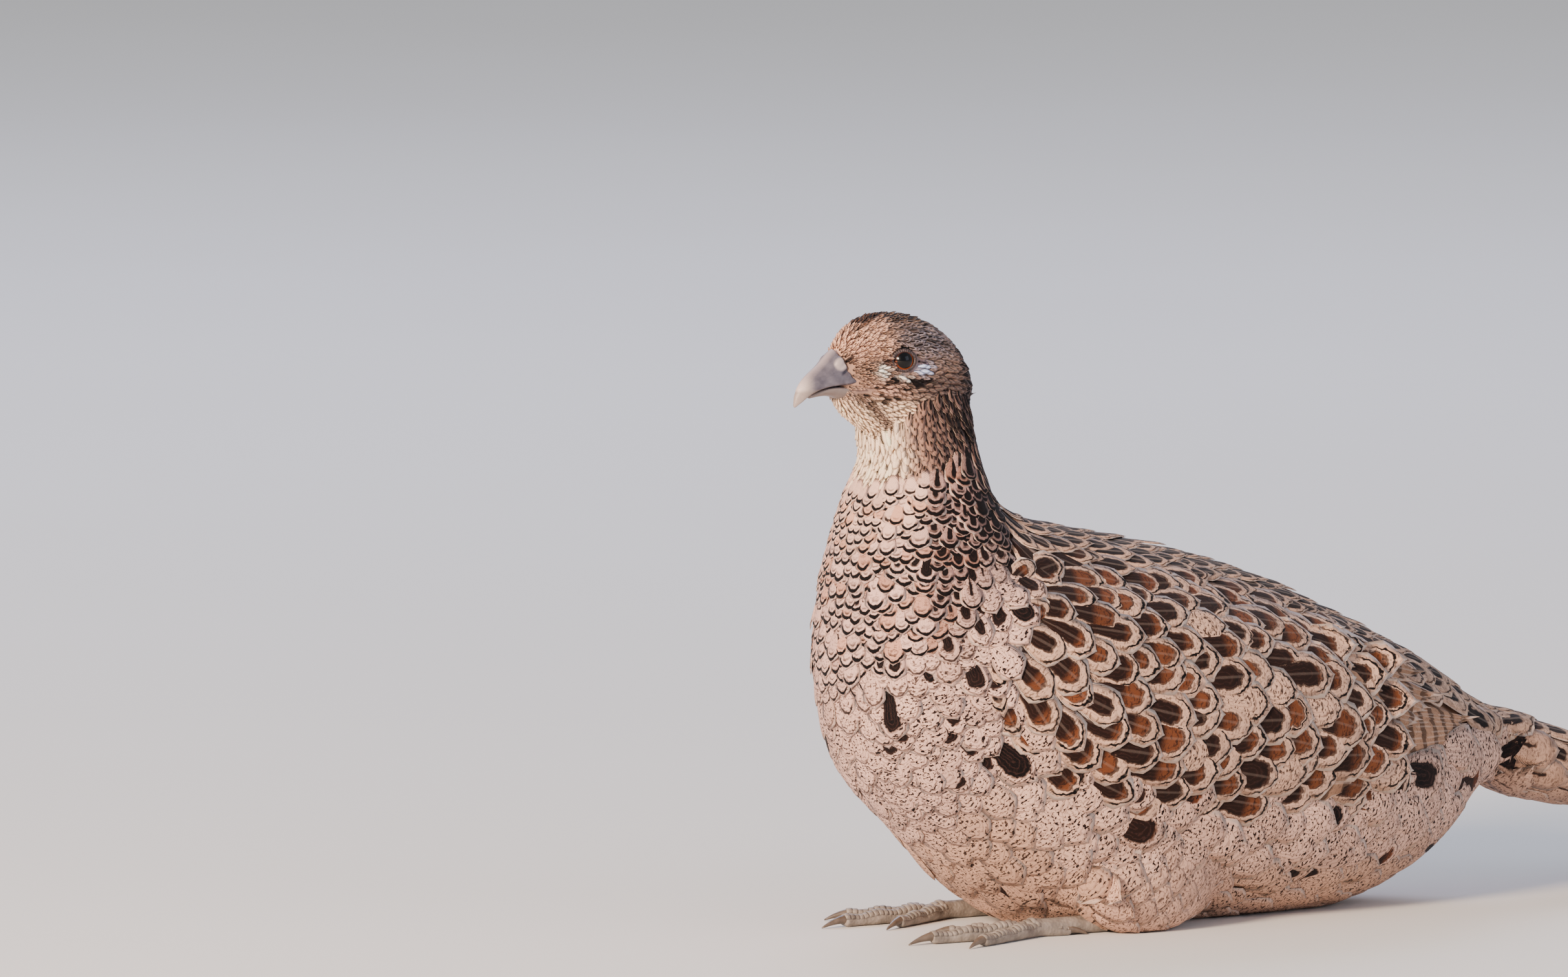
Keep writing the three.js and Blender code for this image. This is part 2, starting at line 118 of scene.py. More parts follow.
def section_points(rows, places, angles, widest, grow=0.0):
    """Points on a row of cross-sections. Angles are 0 on top, pi below, and positive to the right."""
    row = rows_at(rows, places)
    upper, lower = row[..., 0:2], row[..., 2:4]
    outward = unit(upper - lower)
    grow = np.asarray(grow, float)[..., None]
    upper, lower = upper + outward * grow, lower - outward * grow
    middle = upper + (lower - upper) * widest
    rise = np.cos(angles)[..., None]
    at = middle + (np.where(rise > 0, upper, lower) - middle) * np.abs(rise)
    across = (row[..., 4] + grow[..., 0]) * np.sin(angles)
    return np.stack([at[..., 0], across, at[..., 1]], axis=-1)


def on_body(places, angles, grow=0.0):
    """Points of the body at places and angles, or some millimetres outside it."""
    return section_points(BODY_ROWS, np.asarray(places) + TAIL_PLACES, angles, BODY_WIDEST, grow)


HEAD_AT = np.array([-105.2, 0, 190])
HEAD_HEADING = math.radians(6 + 180)
HEAD_TURN = np.array([
    [math.cos(HEAD_HEADING), -math.sin(HEAD_HEADING), 0],
    [math.sin(HEAD_HEADING), math.cos(HEAD_HEADING), 0],
    [0, 0, 1],
])


def set_on_neck(points):
    """From the head's own millimetres, forward along +X, to the bird's."""
    return np.asarray(points) @ HEAD_TURN.T + HEAD_AT


def head_own(points):
    """From the bird's millimetres back to the head's own."""
    return (np.asarray(points) - HEAD_AT) @ HEAD_TURN


def on_wing(side, along, share, lift):
    """A point over the folded wing, at a place along it and a share across it from its top edge."""
    place, top, bottom, stands = np.moveaxis(rows_at(WING_ROWS, along), -1, 0)
    from_middle = np.minimum(np.abs(2 * np.asarray(share) - 1), 1)
    rounded = (stands + WING_DIP) * (1 - from_middle**2) - WING_DIP
    angle = np.radians(top + (bottom - top) * share)
    return on_body(place, side * angle, rounded + lift)


print("the back's highest point is", round(float(on_body(7.0, 0.0)[2]), 1), "mm over the floor")

# %% [markdown]
# ## Small helpers
#
# A mesh from points and faces, and one function that adds a node to any tree, sets it and links it.
# Colours are written as on a paint chart, in sRGB hex, and one function turns them to linear light.


# %% Helpers for meshes, nodes and colours
def linear(colour):
    """sRGB hex to linear red, green, blue and alpha."""
    parts = np.array([int(colour[i : i + 2], 16) / 255 for i in (1, 3, 5)])
    light = np.where(parts <= 0.04045, parts / 12.92, ((parts + 0.055) / 1.055) ** 2.4)
    return (*light, 1.0)


def mesh_piece(name, points, faces, material=None, smooth=True):
    """A mesh object from points in millimetres."""
    mesh = bpy.data.meshes.new(name)
    mesh.from_pydata((np.asarray(points) * MM).tolist(), [], [list(map(int, f)) for f in faces])
    mesh.validate()
    mesh.polygons.foreach_set("use_smooth", [smooth] * len(mesh.polygons))
    piece = bpy.data.objects.new(name, mesh)
    bpy.context.scene.collection.objects.link(piece)
    if material:
        mesh.materials.append(material)
    return piece


def add(tree, kind, inputs=None, **settings):
    """Adds a node. An input may be a value, a socket, or a node, which stands for its first output."""
    node = tree.nodes.new(kind)
    for setting, value in settings.items():
        setattr(node, setting, value)
    for socket, value in (inputs or {}).items():
        if isinstance(value, bpy.types.Node):
            value = value.outputs[0]
        if isinstance(value, bpy.types.NodeSocket):
            tree.links.new(value, node.inputs[socket])
        else:
            node.inputs[socket].default_value = value
    return node


def new_material(name):
    """A material and its empty tree."""
    material = bpy.data.materials.new(name)
    material.use_nodes = True
    material.node_tree.nodes.clear()
    return material, material.node_tree


def attach(name, piece, values, kind="FLOAT_VECTOR"):
    """Stores one value per vertex on a mesh."""
    field = {"FLOAT_VECTOR": "vector", "FLOAT_COLOR": "color", "FLOAT": "value"}[kind]
    layer = piece.data.attributes.new(name, kind, "POINT")
    layer.data.foreach_set(field, np.asarray(values, np.float32).ravel())


def grid_faces(rows, columns, closed=True):
    """The quads of a grid of points, row by row; closed joins each row's end to its start."""
    steps = columns if closed else columns - 1
    return [
        (r * columns + c, r * columns + (c + 1) % columns,
         (r + 1) * columns + (c + 1) % columns, (r + 1) * columns + c)
        for r in range(rows - 1) for c in range(steps)
    ]


def loft(points):
    """A closed tube over a grid of points, with a flat cap at each end."""
    rows, columns = points.shape[:2]
    faces = grid_faces(rows, columns)
    faces.append(tuple(range(columns))[::-1])
    faces.append(tuple(range((rows - 1) * columns, rows * columns)))
    return points.reshape(-1, 3), faces


def tidy_normals(piece):
    """Merges doubles and turns every face outwards."""
    mesh = bmesh.new()
    mesh.from_mesh(piece.data)
    bmesh.ops.remove_doubles(mesh, verts=mesh.verts, dist=1e-6)
    bmesh.ops.recalc_face_normals(mesh, faces=mesh.faces)
    mesh.to_mesh(piece.data)
    mesh.free()


def bake_modifiers(piece):
    """Replaces an object's mesh by what its modifiers make of it, and removes them."""
    graph = bpy.context.evaluated_depsgraph_get()
    made = bpy.data.meshes.new_from_object(piece.evaluated_get(graph), preserve_all_data_layers=True,
                                           depsgraph=graph)
    piece.modifiers.clear()
    piece.data = made
    return made


def points_of(piece):
    """Where a piece's vertices are, in millimetres."""
    values = np.zeros(len(piece.data.vertices) * 3, np.float32)
    piece.data.vertices.foreach_get("co", values)
    return values.reshape(-1, 3).astype(float) / MM


def move_points(piece, points):
    """Puts a piece's vertices at new places, in millimetres."""
    piece.data.vertices.foreach_set("co", (points * MM).astype(np.float32).ravel())
    piece.data.update()


def joined(parts):
    """The points and faces of several lofts as one."""
    points, faces, first = [], [], 0
    for part_points, part_faces in parts:
        points.append(part_points)
        faces += [tuple(i + first for i in face) for face in part_faces]
        first += len(part_points)
    return np.concatenate(points), faces


def melted(name, parts, voxel, rounds):
    """One closed skin over several lofts that run into each other, smoothed some rounds."""
    piece = mesh_piece(name, *joined(parts))
    tidy_normals(piece)
    melt = piece.modifiers.new("melt", "REMESH")
    melt.mode = "VOXEL"
    melt.voxel_size = voxel * MM
    melt.use_smooth_shade = True
    soften = piece.modifiers.new("soften", "SMOOTH")
    soften.factor = 0.5
    soften.iterations = rounds
    bake_modifiers(piece)
    return piece


def search_tree(piece):
    """Finds the nearest place on a piece, in metres."""
    return BVHTree.FromPolygons([v.co for v in piece.data.vertices],
                                [tuple(face.vertices) for face in piece.data.polygons])


print("helpers ready")

# %% [markdown]
# ## The skin
#
# Under the feathers a bird has one skin with no seam. It could be drawn by hand, but the cross-sections are
# known, so tubes are lofted through them, a few millimetres in to leave room for the coat. Body, head,
# thighs and folded wings are then melted together by a voxel remesh and smoothed where they meet.

# %% Loft and melt the skin
SKIN_DEPTH = {"body": 3.0, "neck": 2.0, "head": 0.9, "wing": 2.6}
SKIN_VOXEL = 1.9
WING_ROOT_DEPTH = 9.0  # how far the folded wing reaches into the body
THIGH = {"x": -38, "side": 34, "z": 22, "long": 27, "wide": 12.5, "high": 21}
# the eyes, in the head's own millimetres; they look forward and up by these degrees
EYE = {"forward": 14.7, "side": 9.0, "up": 4.9, "radius": 5.35, "turned": 17, "lifted": 3}
SOCKET_REACH, SOCKET_KEPT = 5.4, 0.62  # how far round the eye the skin is pressed in, and to what share


def coat_depth(places):
    """How far the skin lies inside the solids: less on the neck and at the tail's root."""
    towards_head = np.clip((np.asarray(places) - 8.5) / 3.5, 0, 1)
    return SKIN_DEPTH["body"] + (SKIN_DEPTH["neck"] - SKIN_DEPTH["body"]) * towards_head


def full_turn(count):
    """Angles evenly round a circle."""
    return np.linspace(0, 2 * math.pi, count, endpoint=False)


def eye_centre(side):
    """The middle of an eyeball, in the head's own millimetres."""
    return np.array([EYE["forward"], -side * EYE["side"], EYE["up"]])


def skin_parts():
    """Lofts of the body, the head, the thighs and the folded wings, a little inside the solids."""
    turns = full_turn(72)
    places = np.linspace(-3.9, 14, 150)
    p, a = np.meshgrid(places, turns, indexing="ij")
    yield loft(on_body(p, a, -coat_depth(p)))
    p, a = np.meshgrid(np.linspace(0, 9, 70), turns, indexing="ij")
    yield loft(set_on_neck(section_points(HEAD_ROWS, p, -a, HEAD_WIDEST, -SKIN_DEPTH["head"])))
    for side in SIDES.values():
        v, u = np.meshgrid(np.linspace(0.03, math.pi - 0.03, 24), full_turn(36), indexing="ij")
        yield loft(np.stack([
            THIGH["x"] + THIGH["long"] * np.cos(v),
            side * THIGH["side"] + THIGH["wide"] * np.sin(v) * np.cos(u),
            THIGH["z"] + THIGH["high"] * np.sin(v) * np.sin(u)], axis=-1))
        along, share = np.meshgrid(np.linspace(0.05, 7.4, 60), np.linspace(0, 1, 24), indexing="ij")
        outer = on_wing(side, along, share, -SKIN_DEPTH["wing"])
        place, top, bottom, _ = np.moveaxis(rows_at(WING_ROWS, along), -1, 0)
        inner = on_body(place, side * np.radians(top + (bottom - top) * share), -WING_ROOT_DEPTH)
        yield loft(np.concatenate([outer, inner[:, ::-1]], axis=1))


def hollow_for_eyes(points):
    """Presses a shallow socket into the skin round each eye, as deep as the lids need."""
    own = head_own(points)
    for side in SIDES.values():
        away = own - eye_centre(side)
        close = np.linalg.norm(away, axis=1) < SOCKET_REACH
        own[close] = eye_centre(side) + away[close] * SOCKET_KEPT
    return set_on_neck(own)


skin = melted("skin", skin_parts(), SKIN_VOXEL, 6)
skin_points = hollow_for_eyes(points_of(skin))
skin_points[:, 2] = np.maximum(skin_points[:, 2], 0.0)
move_points(skin, skin_points)
skin_normals = np.zeros(len(skin.data.vertices) * 3, np.float32)
skin.data.vertices.foreach_get("normal", skin_normals)
attach("skin_normal", skin, skin_normals)
skin_tree = search_tree(skin)
print("skin:", len(skin.data.polygons), "faces")

# %% [markdown]
# ## One feather
#
# A contour feather is a shallow spoon: a vane with a round or pointed tip, arched across. Thousands are
# needed, so each has only a few dozen faces. It is drawn flat, one unit long and one wide, and carries for
# each point how high it stands off the skin. It is a closed lens: the upper and the under side share the rim.


# %% Draw the vane shapes
def vane_shape(name, columns, rows, outline, arch, rise, droop):
    """A flat vane from (0, 0) to its tip at (0, 1). outline gives half its width at shares of its length."""
    shares = 1 - (1 - np.linspace(0, 1, rows)) ** 1.5
    halves = np.interp(shares, [p[0] for p in outline], [p[1] for p in outline])
    across = np.linspace(-1, 1, columns)
    v, a = np.meshgrid(shares, across, indexing="ij")
    drawn_in = 1 - 0.1 * np.abs(a) ** 2 * v**2 if rows > 4 else np.ones_like(v)
    x = a * halves[:, None]
    y = v * drawn_in
    stand = rise[0] + (rise[1] - rise[0]) * v - arch * a**2 - droop * np.maximum(v - 0.8, 0) / 0.2
    inside = np.zeros((rows, columns), bool)
    inside[1:-1, 1:-1] = True
    index = np.arange(rows * columns).reshape(rows, columns)
    under = index.copy()
    under[inside] = rows * columns + np.arange(inside.sum())
    flat = np.stack([x, y, np.zeros_like(x)], axis=-1).reshape(-1, 3)
    points = np.concatenate([flat, flat[inside.ravel()]])
    faces = []
    for r in range(rows - 1):
        for c in range(columns - 1):
            corner = [(r, c), (r, c + 1), (r + 1, c + 1), (r + 1, c)]
            faces.append([index[k] for k in corner])
            faces.append([under[k] for k in corner[::-1]])
    piece = mesh_piece(name, points / MM, faces)
    side = np.concatenate([inside.ravel() * 1.0, -np.ones(inside.sum())])
    attach("stand", piece, np.concatenate([stand.ravel(), stand[inside]]), "FLOAT")
    attach("face", piece, side, "FLOAT")
    layer = piece.data.uv_layers.new(name="Vane")
    drawn = np.stack([a * 0.5 + 0.5, v], axis=-1)
    place = np.concatenate([drawn.reshape(-1, 2), drawn[inside]])
    corners = np.array([loop.vertex_index for loop in piece.data.loops])
    layer.data.foreach_set("uv", place[corners].astype(np.float32).ravel())
    return piece


ROUND_TIP = [(0, 0.16), (0.25, 0.36), (0.55, 0.5), (0.8, 0.49), (0.92, 0.38), (0.98, 0.2), (1, 0.07)]
BLUNT_TIP = [(0, 0.2), (0.25, 0.38), (0.5, 0.49), (0.85, 0.5), (0.94, 0.43), (0.985, 0.28), (1, 0.12)]
POINTED_TIP = [(0, 0.16), (0.3, 0.42), (0.55, 0.5), (0.75, 0.42), (0.9, 0.25), (1, 0.03)]
QUILL_TIP = [(0, 0.3), (0.2, 0.46), (0.7, 0.5), (0.88, 0.44), (0.96, 0.28), (1, 0.08)]
TUFT_TIP = [(0, 0.25), (0.5, 0.5), (0.85, 0.36), (1, 0.06)]
vanes = {
    "round": vane_shape("vane_round", 5, 7, ROUND_TIP, 0.07, (0.6, 1.0), 0.11),
    "blunt": vane_shape("vane_blunt", 5, 7, BLUNT_TIP, 0.06, (0.6, 1.0), 0.11),
    "pointed": vane_shape("vane_pointed", 5, 7, POINTED_TIP, 0.1, (0.5, 1.0), 0.12),
    "quill": vane_shape("vane_quill", 5, 9, QUILL_TIP, 0.16, (0.1, 1.0), 0.16),
    "tuft": vane_shape("vane_tuft", 3, 5, TUFT_TIP, 0.15, (0.3, 1.0), 0.16),
}
print({name: len(piece.data.polygons) for name, piece in vanes.items()}, "faces a vane")

# %% [markdown]
# ## Feathers over a surface
#
# The coat is one Geometry Nodes tree. It takes a cloud of roots, and at each one it sets a vane down with its
# tip along the feather's lie. Every point of the vane then goes to the nearest place on the skin, plus the
# height that it stands at, so the vane bends round the body. Where the skin falls away, as behind the
# rump, the vane goes straight on. It ends with real mesh, because the export drops instances.


# %% Build the tree that lays feathers
def build_feather_tree():
    """The node tree that turns a cloud of roots into a coat."""
    tree = bpy.data.node_groups.new("Feathers over a surface", "GeometryNodeTree")
    for name, kind, value in [
        ("Geometry", "NodeSocketGeometry", None), ("Vane", "NodeSocketObject", None),
        ("Surface", "NodeSocketObject", None), ("Material", "NodeSocketMaterial", None),
        ("Thickness", "NodeSocketFloat", 0.0003), ("Ruffle", "NodeSocketFloat", 0.12),
        ("Free from", "NodeSocketFloat", 0.005), ("Free to", "NodeSocketFloat", 0.012),
        ("Seed", "NodeSocketInt", 3),
    ]:
        socket = tree.interface.new_socket(name, in_out="INPUT", socket_type=kind)
        if value is not None:
            socket.default_value = value
    tree.interface.new_socket("Geometry", in_out="OUTPUT", socket_type="NodeSocketGeometry")
    given = tree.nodes.new("NodeGroupInput").outputs
    vane = add(tree, "GeometryNodeObjectInfo", {"Object": given["Vane"]})
    surface = add(tree, "GeometryNodeObjectInfo", {"Object": given["Surface"]}).outputs["Geometry"]
    stored = {
        name: add(tree, "GeometryNodeInputNamedAttribute", {"Name": name}, data_type=kind)
        for name, kind in [("out", "FLOAT_VECTOR"), ("lie", "FLOAT_VECTOR"), ("size", "FLOAT_VECTOR"),
                           ("stand", "FLOAT"), ("face", "FLOAT"), ("skin_normal", "FLOAT_VECTOR"),
                           ("root_uv", "FLOAT_VECTOR"), ("Vane", "FLOAT_VECTOR")]
    }
    # one vane at each root, turned along its lie and a little astray
    aim = add(tree, "FunctionNodeAxesToRotation",
              {"Primary Axis": stored["out"], "Secondary Axis": stored["lie"]},
              primary_axis="Z", secondary_axis="Y")
    astray = add(tree, "FunctionNodeRandomValue",
                 {2: add(tree, "ShaderNodeMath", {0: given["Ruffle"], 1: -1.0}, operation="MULTIPLY"),
                  3: given["Ruffle"], "Seed": given["Seed"]}, data_type="FLOAT")
    turn = add(tree, "FunctionNodeEulerToRotation",
               {0: add(tree, "ShaderNodeCombineXYZ", {"Z": astray.outputs[1]})})
    aim = add(tree, "FunctionNodeRotateRotation", {0: aim, 1: turn}, rotation_space="LOCAL")
    flat_size = add(tree, "ShaderNodeVectorMath", {0: stored["size"], 1: (1, 1, 0)}, operation="MULTIPLY")
    flat_size = add(tree, "ShaderNodeVectorMath", {0: flat_size, 1: (0, 0, 1)}, operation="ADD")
    laid = add(tree, "GeometryNodeInstanceOnPoints",
               {"Points": given["Geometry"], "Instance": vane.outputs["Geometry"], "Rotation": aim,
                "Scale": flat_size})
    real = add(tree, "GeometryNodeRealizeInstances", {"Geometry": laid})
    # each point goes to the skin, and out again by its height
    here = add(tree, "GeometryNodeInputPosition")
    nearest = add(tree, "GeometryNodeProximity", {"Target": surface, "Source Position": here},
                  target_element="FACES")
    normal = add(tree, "GeometryNodeSampleNearestSurface",
                 {"Mesh": surface, "Value": stored["skin_normal"], "Sample Position": here},
                 data_type="FLOAT_VECTOR")
    normal = add(tree, "ShaderNodeVectorMath", {0: normal}, operation="NORMALIZE")
    depth = add(tree, "ShaderNodeSeparateXYZ", {0: stored["size"]}).outputs["Z"]
    half = add(tree, "ShaderNodeMath", {0: given["Thickness"], 1: 0.5}, operation="MULTIPLY")
    skin_high = add(tree, "ShaderNodeMath", {0: stored["face"], 1: half}, operation="MULTIPLY")
    high = add(tree, "ShaderNodeMath", {0: stored["stand"], 1: depth, 2: skin_high}, operation="MULTIPLY_ADD")
    hugging = add(tree, "ShaderNodeVectorMath", {0: normal, "Scale": high}, operation="SCALE")
    hugging = add(tree, "ShaderNodeVectorMath", {0: nearest.outputs["Position"], 1: hugging}, operation="ADD")
    straight = add(tree, "ShaderNodeVectorMath", {0: stored["out"], "Scale": high}, operation="SCALE")
    straight = add(tree, "ShaderNodeVectorMath", {0: here, 1: straight}, operation="ADD")
    free = add(tree, "ShaderNodeMapRange",
               {"Value": nearest.outputs["Distance"], "From Min": given["Free from"],
                "From Max": given["Free to"]}, interpolation_type="SMOOTHSTEP")
    place = add(tree, "ShaderNodeMix", {"Factor": free, 4: hugging, 5: straight}, data_type="VECTOR")
    place = add(tree, "ShaderNodeVectorMath", {0: place.outputs[1], 1: (-9, -9, 0.0003)}, operation="MAXIMUM")
    moved = add(tree, "GeometryNodeSetPosition", {"Geometry": real, "Position": place})
    # the map for baking: a small patch for each feather, where its root is on the unwrapped skin
    patch = add(tree, "ShaderNodeVectorMath", {0: stored["Vane"], "Scale": 0.003}, operation="SCALE")
    patch = add(tree, "ShaderNodeVectorMath", {0: patch, 1: stored["root_uv"]}, operation="ADD")
    mapped = add(tree, "GeometryNodeStoreNamedAttribute",
                 {"Geometry": moved, "Name": "OFBake", "Value": patch}, data_type="FLOAT2", domain="CORNER")
    smooth = add(tree, "GeometryNodeSetShadeSmooth", {0: mapped})
    painted = add(tree, "GeometryNodeSetMaterial", {"Geometry": smooth, "Material": given["Material"]})
    add(tree, "NodeGroupOutput", {"Geometry": painted})
    return tree


feather_tree = build_feather_tree()
FEATHER_INPUTS = {item.name: item.identifier for item in feather_tree.interface.items_tree
                  if item.item_type == "SOCKET" and item.in_out == "INPUT"}
print("feather tree:", len(feather_tree.nodes), "nodes")

# %% [markdown]
# ## The markings
#
# A hen's feathers are marked one by one, and the rows add up to her pattern. Each feather carries its own
# numbers: ground and heart colours, how big its dark heart is, where a dark ring runs inside its edge, and
# how strong flecks, bars and a pale shaft are. They are blended from tract to tract over the body, so
# nothing is painted from the camera, and the back is marked like the front.

# %% Tracts of the body
# places along the body, angles from the top in degrees, how softly it ends (places, degrees), spacing mm,
# length, width, ground, heart, then heart size, ring radius, ring strength, flecks, bars, shaft, fringe
TRACTS = {
    "mantle": ((1.5, 9.2), (-9, 30), (0.8, 9), 7.6, 19, 9.5,
               "#C49E88", "#1C100D", 0.52, 0.78, 0.5, 0.4, 0, 0.1, 0.95),
    "scapulars": ((2.2, 8.0), (30, 66), (0.8, 8), 10.0, 25, 14,
                  "#D0A790", "#643620", 0.56, 0.78, 0.6, 0.6, 0, 0.05, 0.95),
    "flank": ((0.5, 7.6), (66, 128), (0.8, 8), 9.0, 25, 15.5,
              "#DDB39F", "#6A3A24", 0.0, 0.80, 0.14, 1.0, 0, 0, 0.6),
    "belly": ((-1, 7.4), (128, 190), (0.8, 9), 8.6, 23, 14,
              "#CBA28B", "#BE9A84", 0.0, 0.78, 0.12, 0.95, 0, 0, 0.4),
    "breast": ((7.4, 9.4), (50, 190), (0.5, 12), 5.8, 16, 10.5,
               "#DEB4A4", "#2C1813", 0.0, 0.80, 0.34, 1.0, 0, 0, 0.6),
    "low_neck": ((9.0, 10.7), (104, 190), (0.5, 10), 3.9, 10.5, 7.4,
                 "#DDB3A6", "#8B6A58", 0.0, 0.70, 0.85, 0.35, 0, 0, 0.7),
    "high_neck": ((10.6, 12.2), (104, 190), (0.4, 10), 3.3, 8.5, 6,
                  "#E6BCAA", "#8B6A58", 0.0, 0.70, 0.62, 0.1, 0, 0, 0.6),
    "neck_side": ((8.8, 12.4), (62, 108), (0.5, 10), 3.8, 10, 7,
                  "#A8837A", "#140B0D", 0.30, 0.70, 0.95, 0.35, 0, 0, 0.6),
    "hind_neck": ((8.8, 14.5), (-9, 62), (0.5, 12), 4.0, 10.5, 7.4,
                  "#6E5652", "#100A0C", 0.52, 0.78, 0.9, 0.2, 0, 0, 0.3),
    "rump": ((-2.5, 1.8), (-9, 66), (0.7, 10), 8.5, 24, 13,
             "#C7A189", "#2E1A12", 0.44, 0.80, 0.5, 0.5, 0.25, 0.1, 0.7),
    "tail_coverts": ((-4.5, -1.6), (-9, 190), (0.7, 20), 7.5, 34, 14,
                     "#BF9880", "#2E1C14", 0.36, 0.78, 0.4, 0.4, 0.6, 0.1, 0.5),
    "vent": ((-4, 0.2), (60, 190), (0.8, 14), 9.0, 24, 14,
             "#B8927C", "#7A5B48", 0.1, 0.7, 0.2, 0.5, 0.2, 0, 0.3),
}


def step(values, soft):
    """0 below zero and 1 above it, with a soft edge."""
    return 1 / (1 + np.exp(-np.clip(values / soft * 4, -30, 30)))


def tract_table():
    """The tracts as two arrays: their bounds, and their sizes and markings."""
    bounds, numbers = [], []
    for along, turned, soft, *sizes in TRACTS.values():
        spacing, length, width, ground, heart, *marks = sizes
        bounds.append([*along, *turned, *soft])
        numbers.append([spacing, length, width, *linear(ground)[:3], *linear(heart)[:3], *marks])
    return np.array(bounds), np.array(numbers)


TRACT_BOUNDS, TRACT_NUMBERS = tract_table()


def marks_at(places, degrees):
    """Sizes and markings at places and angles of the body, blended between tracts."""
    degrees = np.abs(degrees)
    b = TRACT_BOUNDS
    p, d = np.asarray(places)[:, None], degrees[:, None]
    weight = (step(p - b[:, 0], b[:, 4]) * step(b[:, 1] - p, b[:, 4])
              * step(d - b[:, 2], b[:, 5]) * step(b[:, 3] - d, b[:, 5])) ** 2 + 1e-9
    return weight @ TRACT_NUMBERS / weight.sum(axis=1, keepdims=True)


print(len(TRACTS), "tracts")

# %% [markdown]
# ## Where the roots are
#
# Real feathers stand in staggered rows. A sweep from the head to the tail tries closely spaced places and
# keeps each one that is far enough from those already kept. That packs them like roof tiles, close where
# feathers are small and wide where they are large, with small irregularities of the kind a bird has.


# %% Sweep for roots
def sweep(points, spacing):
    """Keeps each point that lies at least its own spacing from those kept before it."""
    kept, kept_in = [], {}
    cells = np.floor(points / float(spacing.max())).astype(int)
    beside = list(itertools.product((-1, 0, 1), repeat=3))
    for i, ((x, y, z), here) in enumerate(zip(cells.tolist(), points)):
        near = (points[j] - here for dx, dy, dz in beside
                for j in kept_in.get((x + dx, y + dy, z + dz), ()))
        if all(away @ away >= spacing[i] ** 2 for away in near):
            kept.append(i)
            kept_in.setdefault((x, y, z), []).append(i)
    return np.array(kept)


def surface_frame(point_at, p, a):
    """The lie towards lower places, and the outward direction, on any surface of place and angle."""
    dp, da = 0.02, 0.01
    along = unit(point_at(p - dp, a) - point_at(p + dp, a))
    across = point_at(p, a + da) - point_at(p, a - da)
    return along, unit(np.cross(across, along))


def on_skin(points, reach):
    """Which points, in millimetres, lie on the skin and not deep inside it."""
    away = [skin_tree.find_nearest(Vector(point * MM))[3] for point in points]
    return np.array(away) < np.asarray(reach) * MM


NECK_TOP, COVERTS_END = 13.9, -3.3  # the places where the sweep starts and stops
TRIED_APART = 1.7  # millimetres between tried places round a section
FINE_FEATHERS_FROM = 11.75  # above this place the throat's fine feathers take over
candidates_p, candidates_a = [], []
for place in np.arange(NECK_TOP, COVERTS_END, -0.045):
    ring = on_body(place, np.linspace(0, 2 * math.pi, 40))
    around = np.linalg.norm(np.diff(ring, axis=0), axis=1).sum()
    count = max(int(around / TRIED_APART), 12)
    angles = (np.arange(count) + chance.random()) / count * 2 * math.pi - math.pi
    candidates_p.append(np.full(count, place))
    candidates_a.append(angles)
root_p = np.concatenate(candidates_p) + chance.normal(0, 0.01, sum(map(len, candidates_p)))
root_a = np.concatenate(candidates_a)
root_at = on_body(root_p, root_a, -coat_depth(root_p))
body_marks = marks_at(root_p, np.degrees(root_a))
kept = sweep(root_at, body_marks[:, 0] * 0.86)
kept = kept[root_p[kept] < FINE_FEATHERS_FROM]
root_p, root_a, root_at, body_marks = root_p[kept], root_a[kept], root_at[kept], body_marks[kept]
alive = on_skin(root_at, 1.6)
root_p, root_a, root_at, body_marks = root_p[alive], root_a[alive], root_at[alive], body_marks[alive]
print("body feathers:", len(root_p))

# %% [markdown]
# ## Feather keratin
#
# A vane is rows of fine barbs of keratin, dull and soft, with hardly any shine. Barbs are about a third of a
# millimetre apart, which a whole-bird picture can't show, so they are drawn twice as coarse. The markings
# follow the vane's own map: rings run inside the tip's edge, the heart sits in the middle, bars run across.


# %% Make the feather material
INK = "#0A0506"
PALE_EDGE = "#F0D6C6"
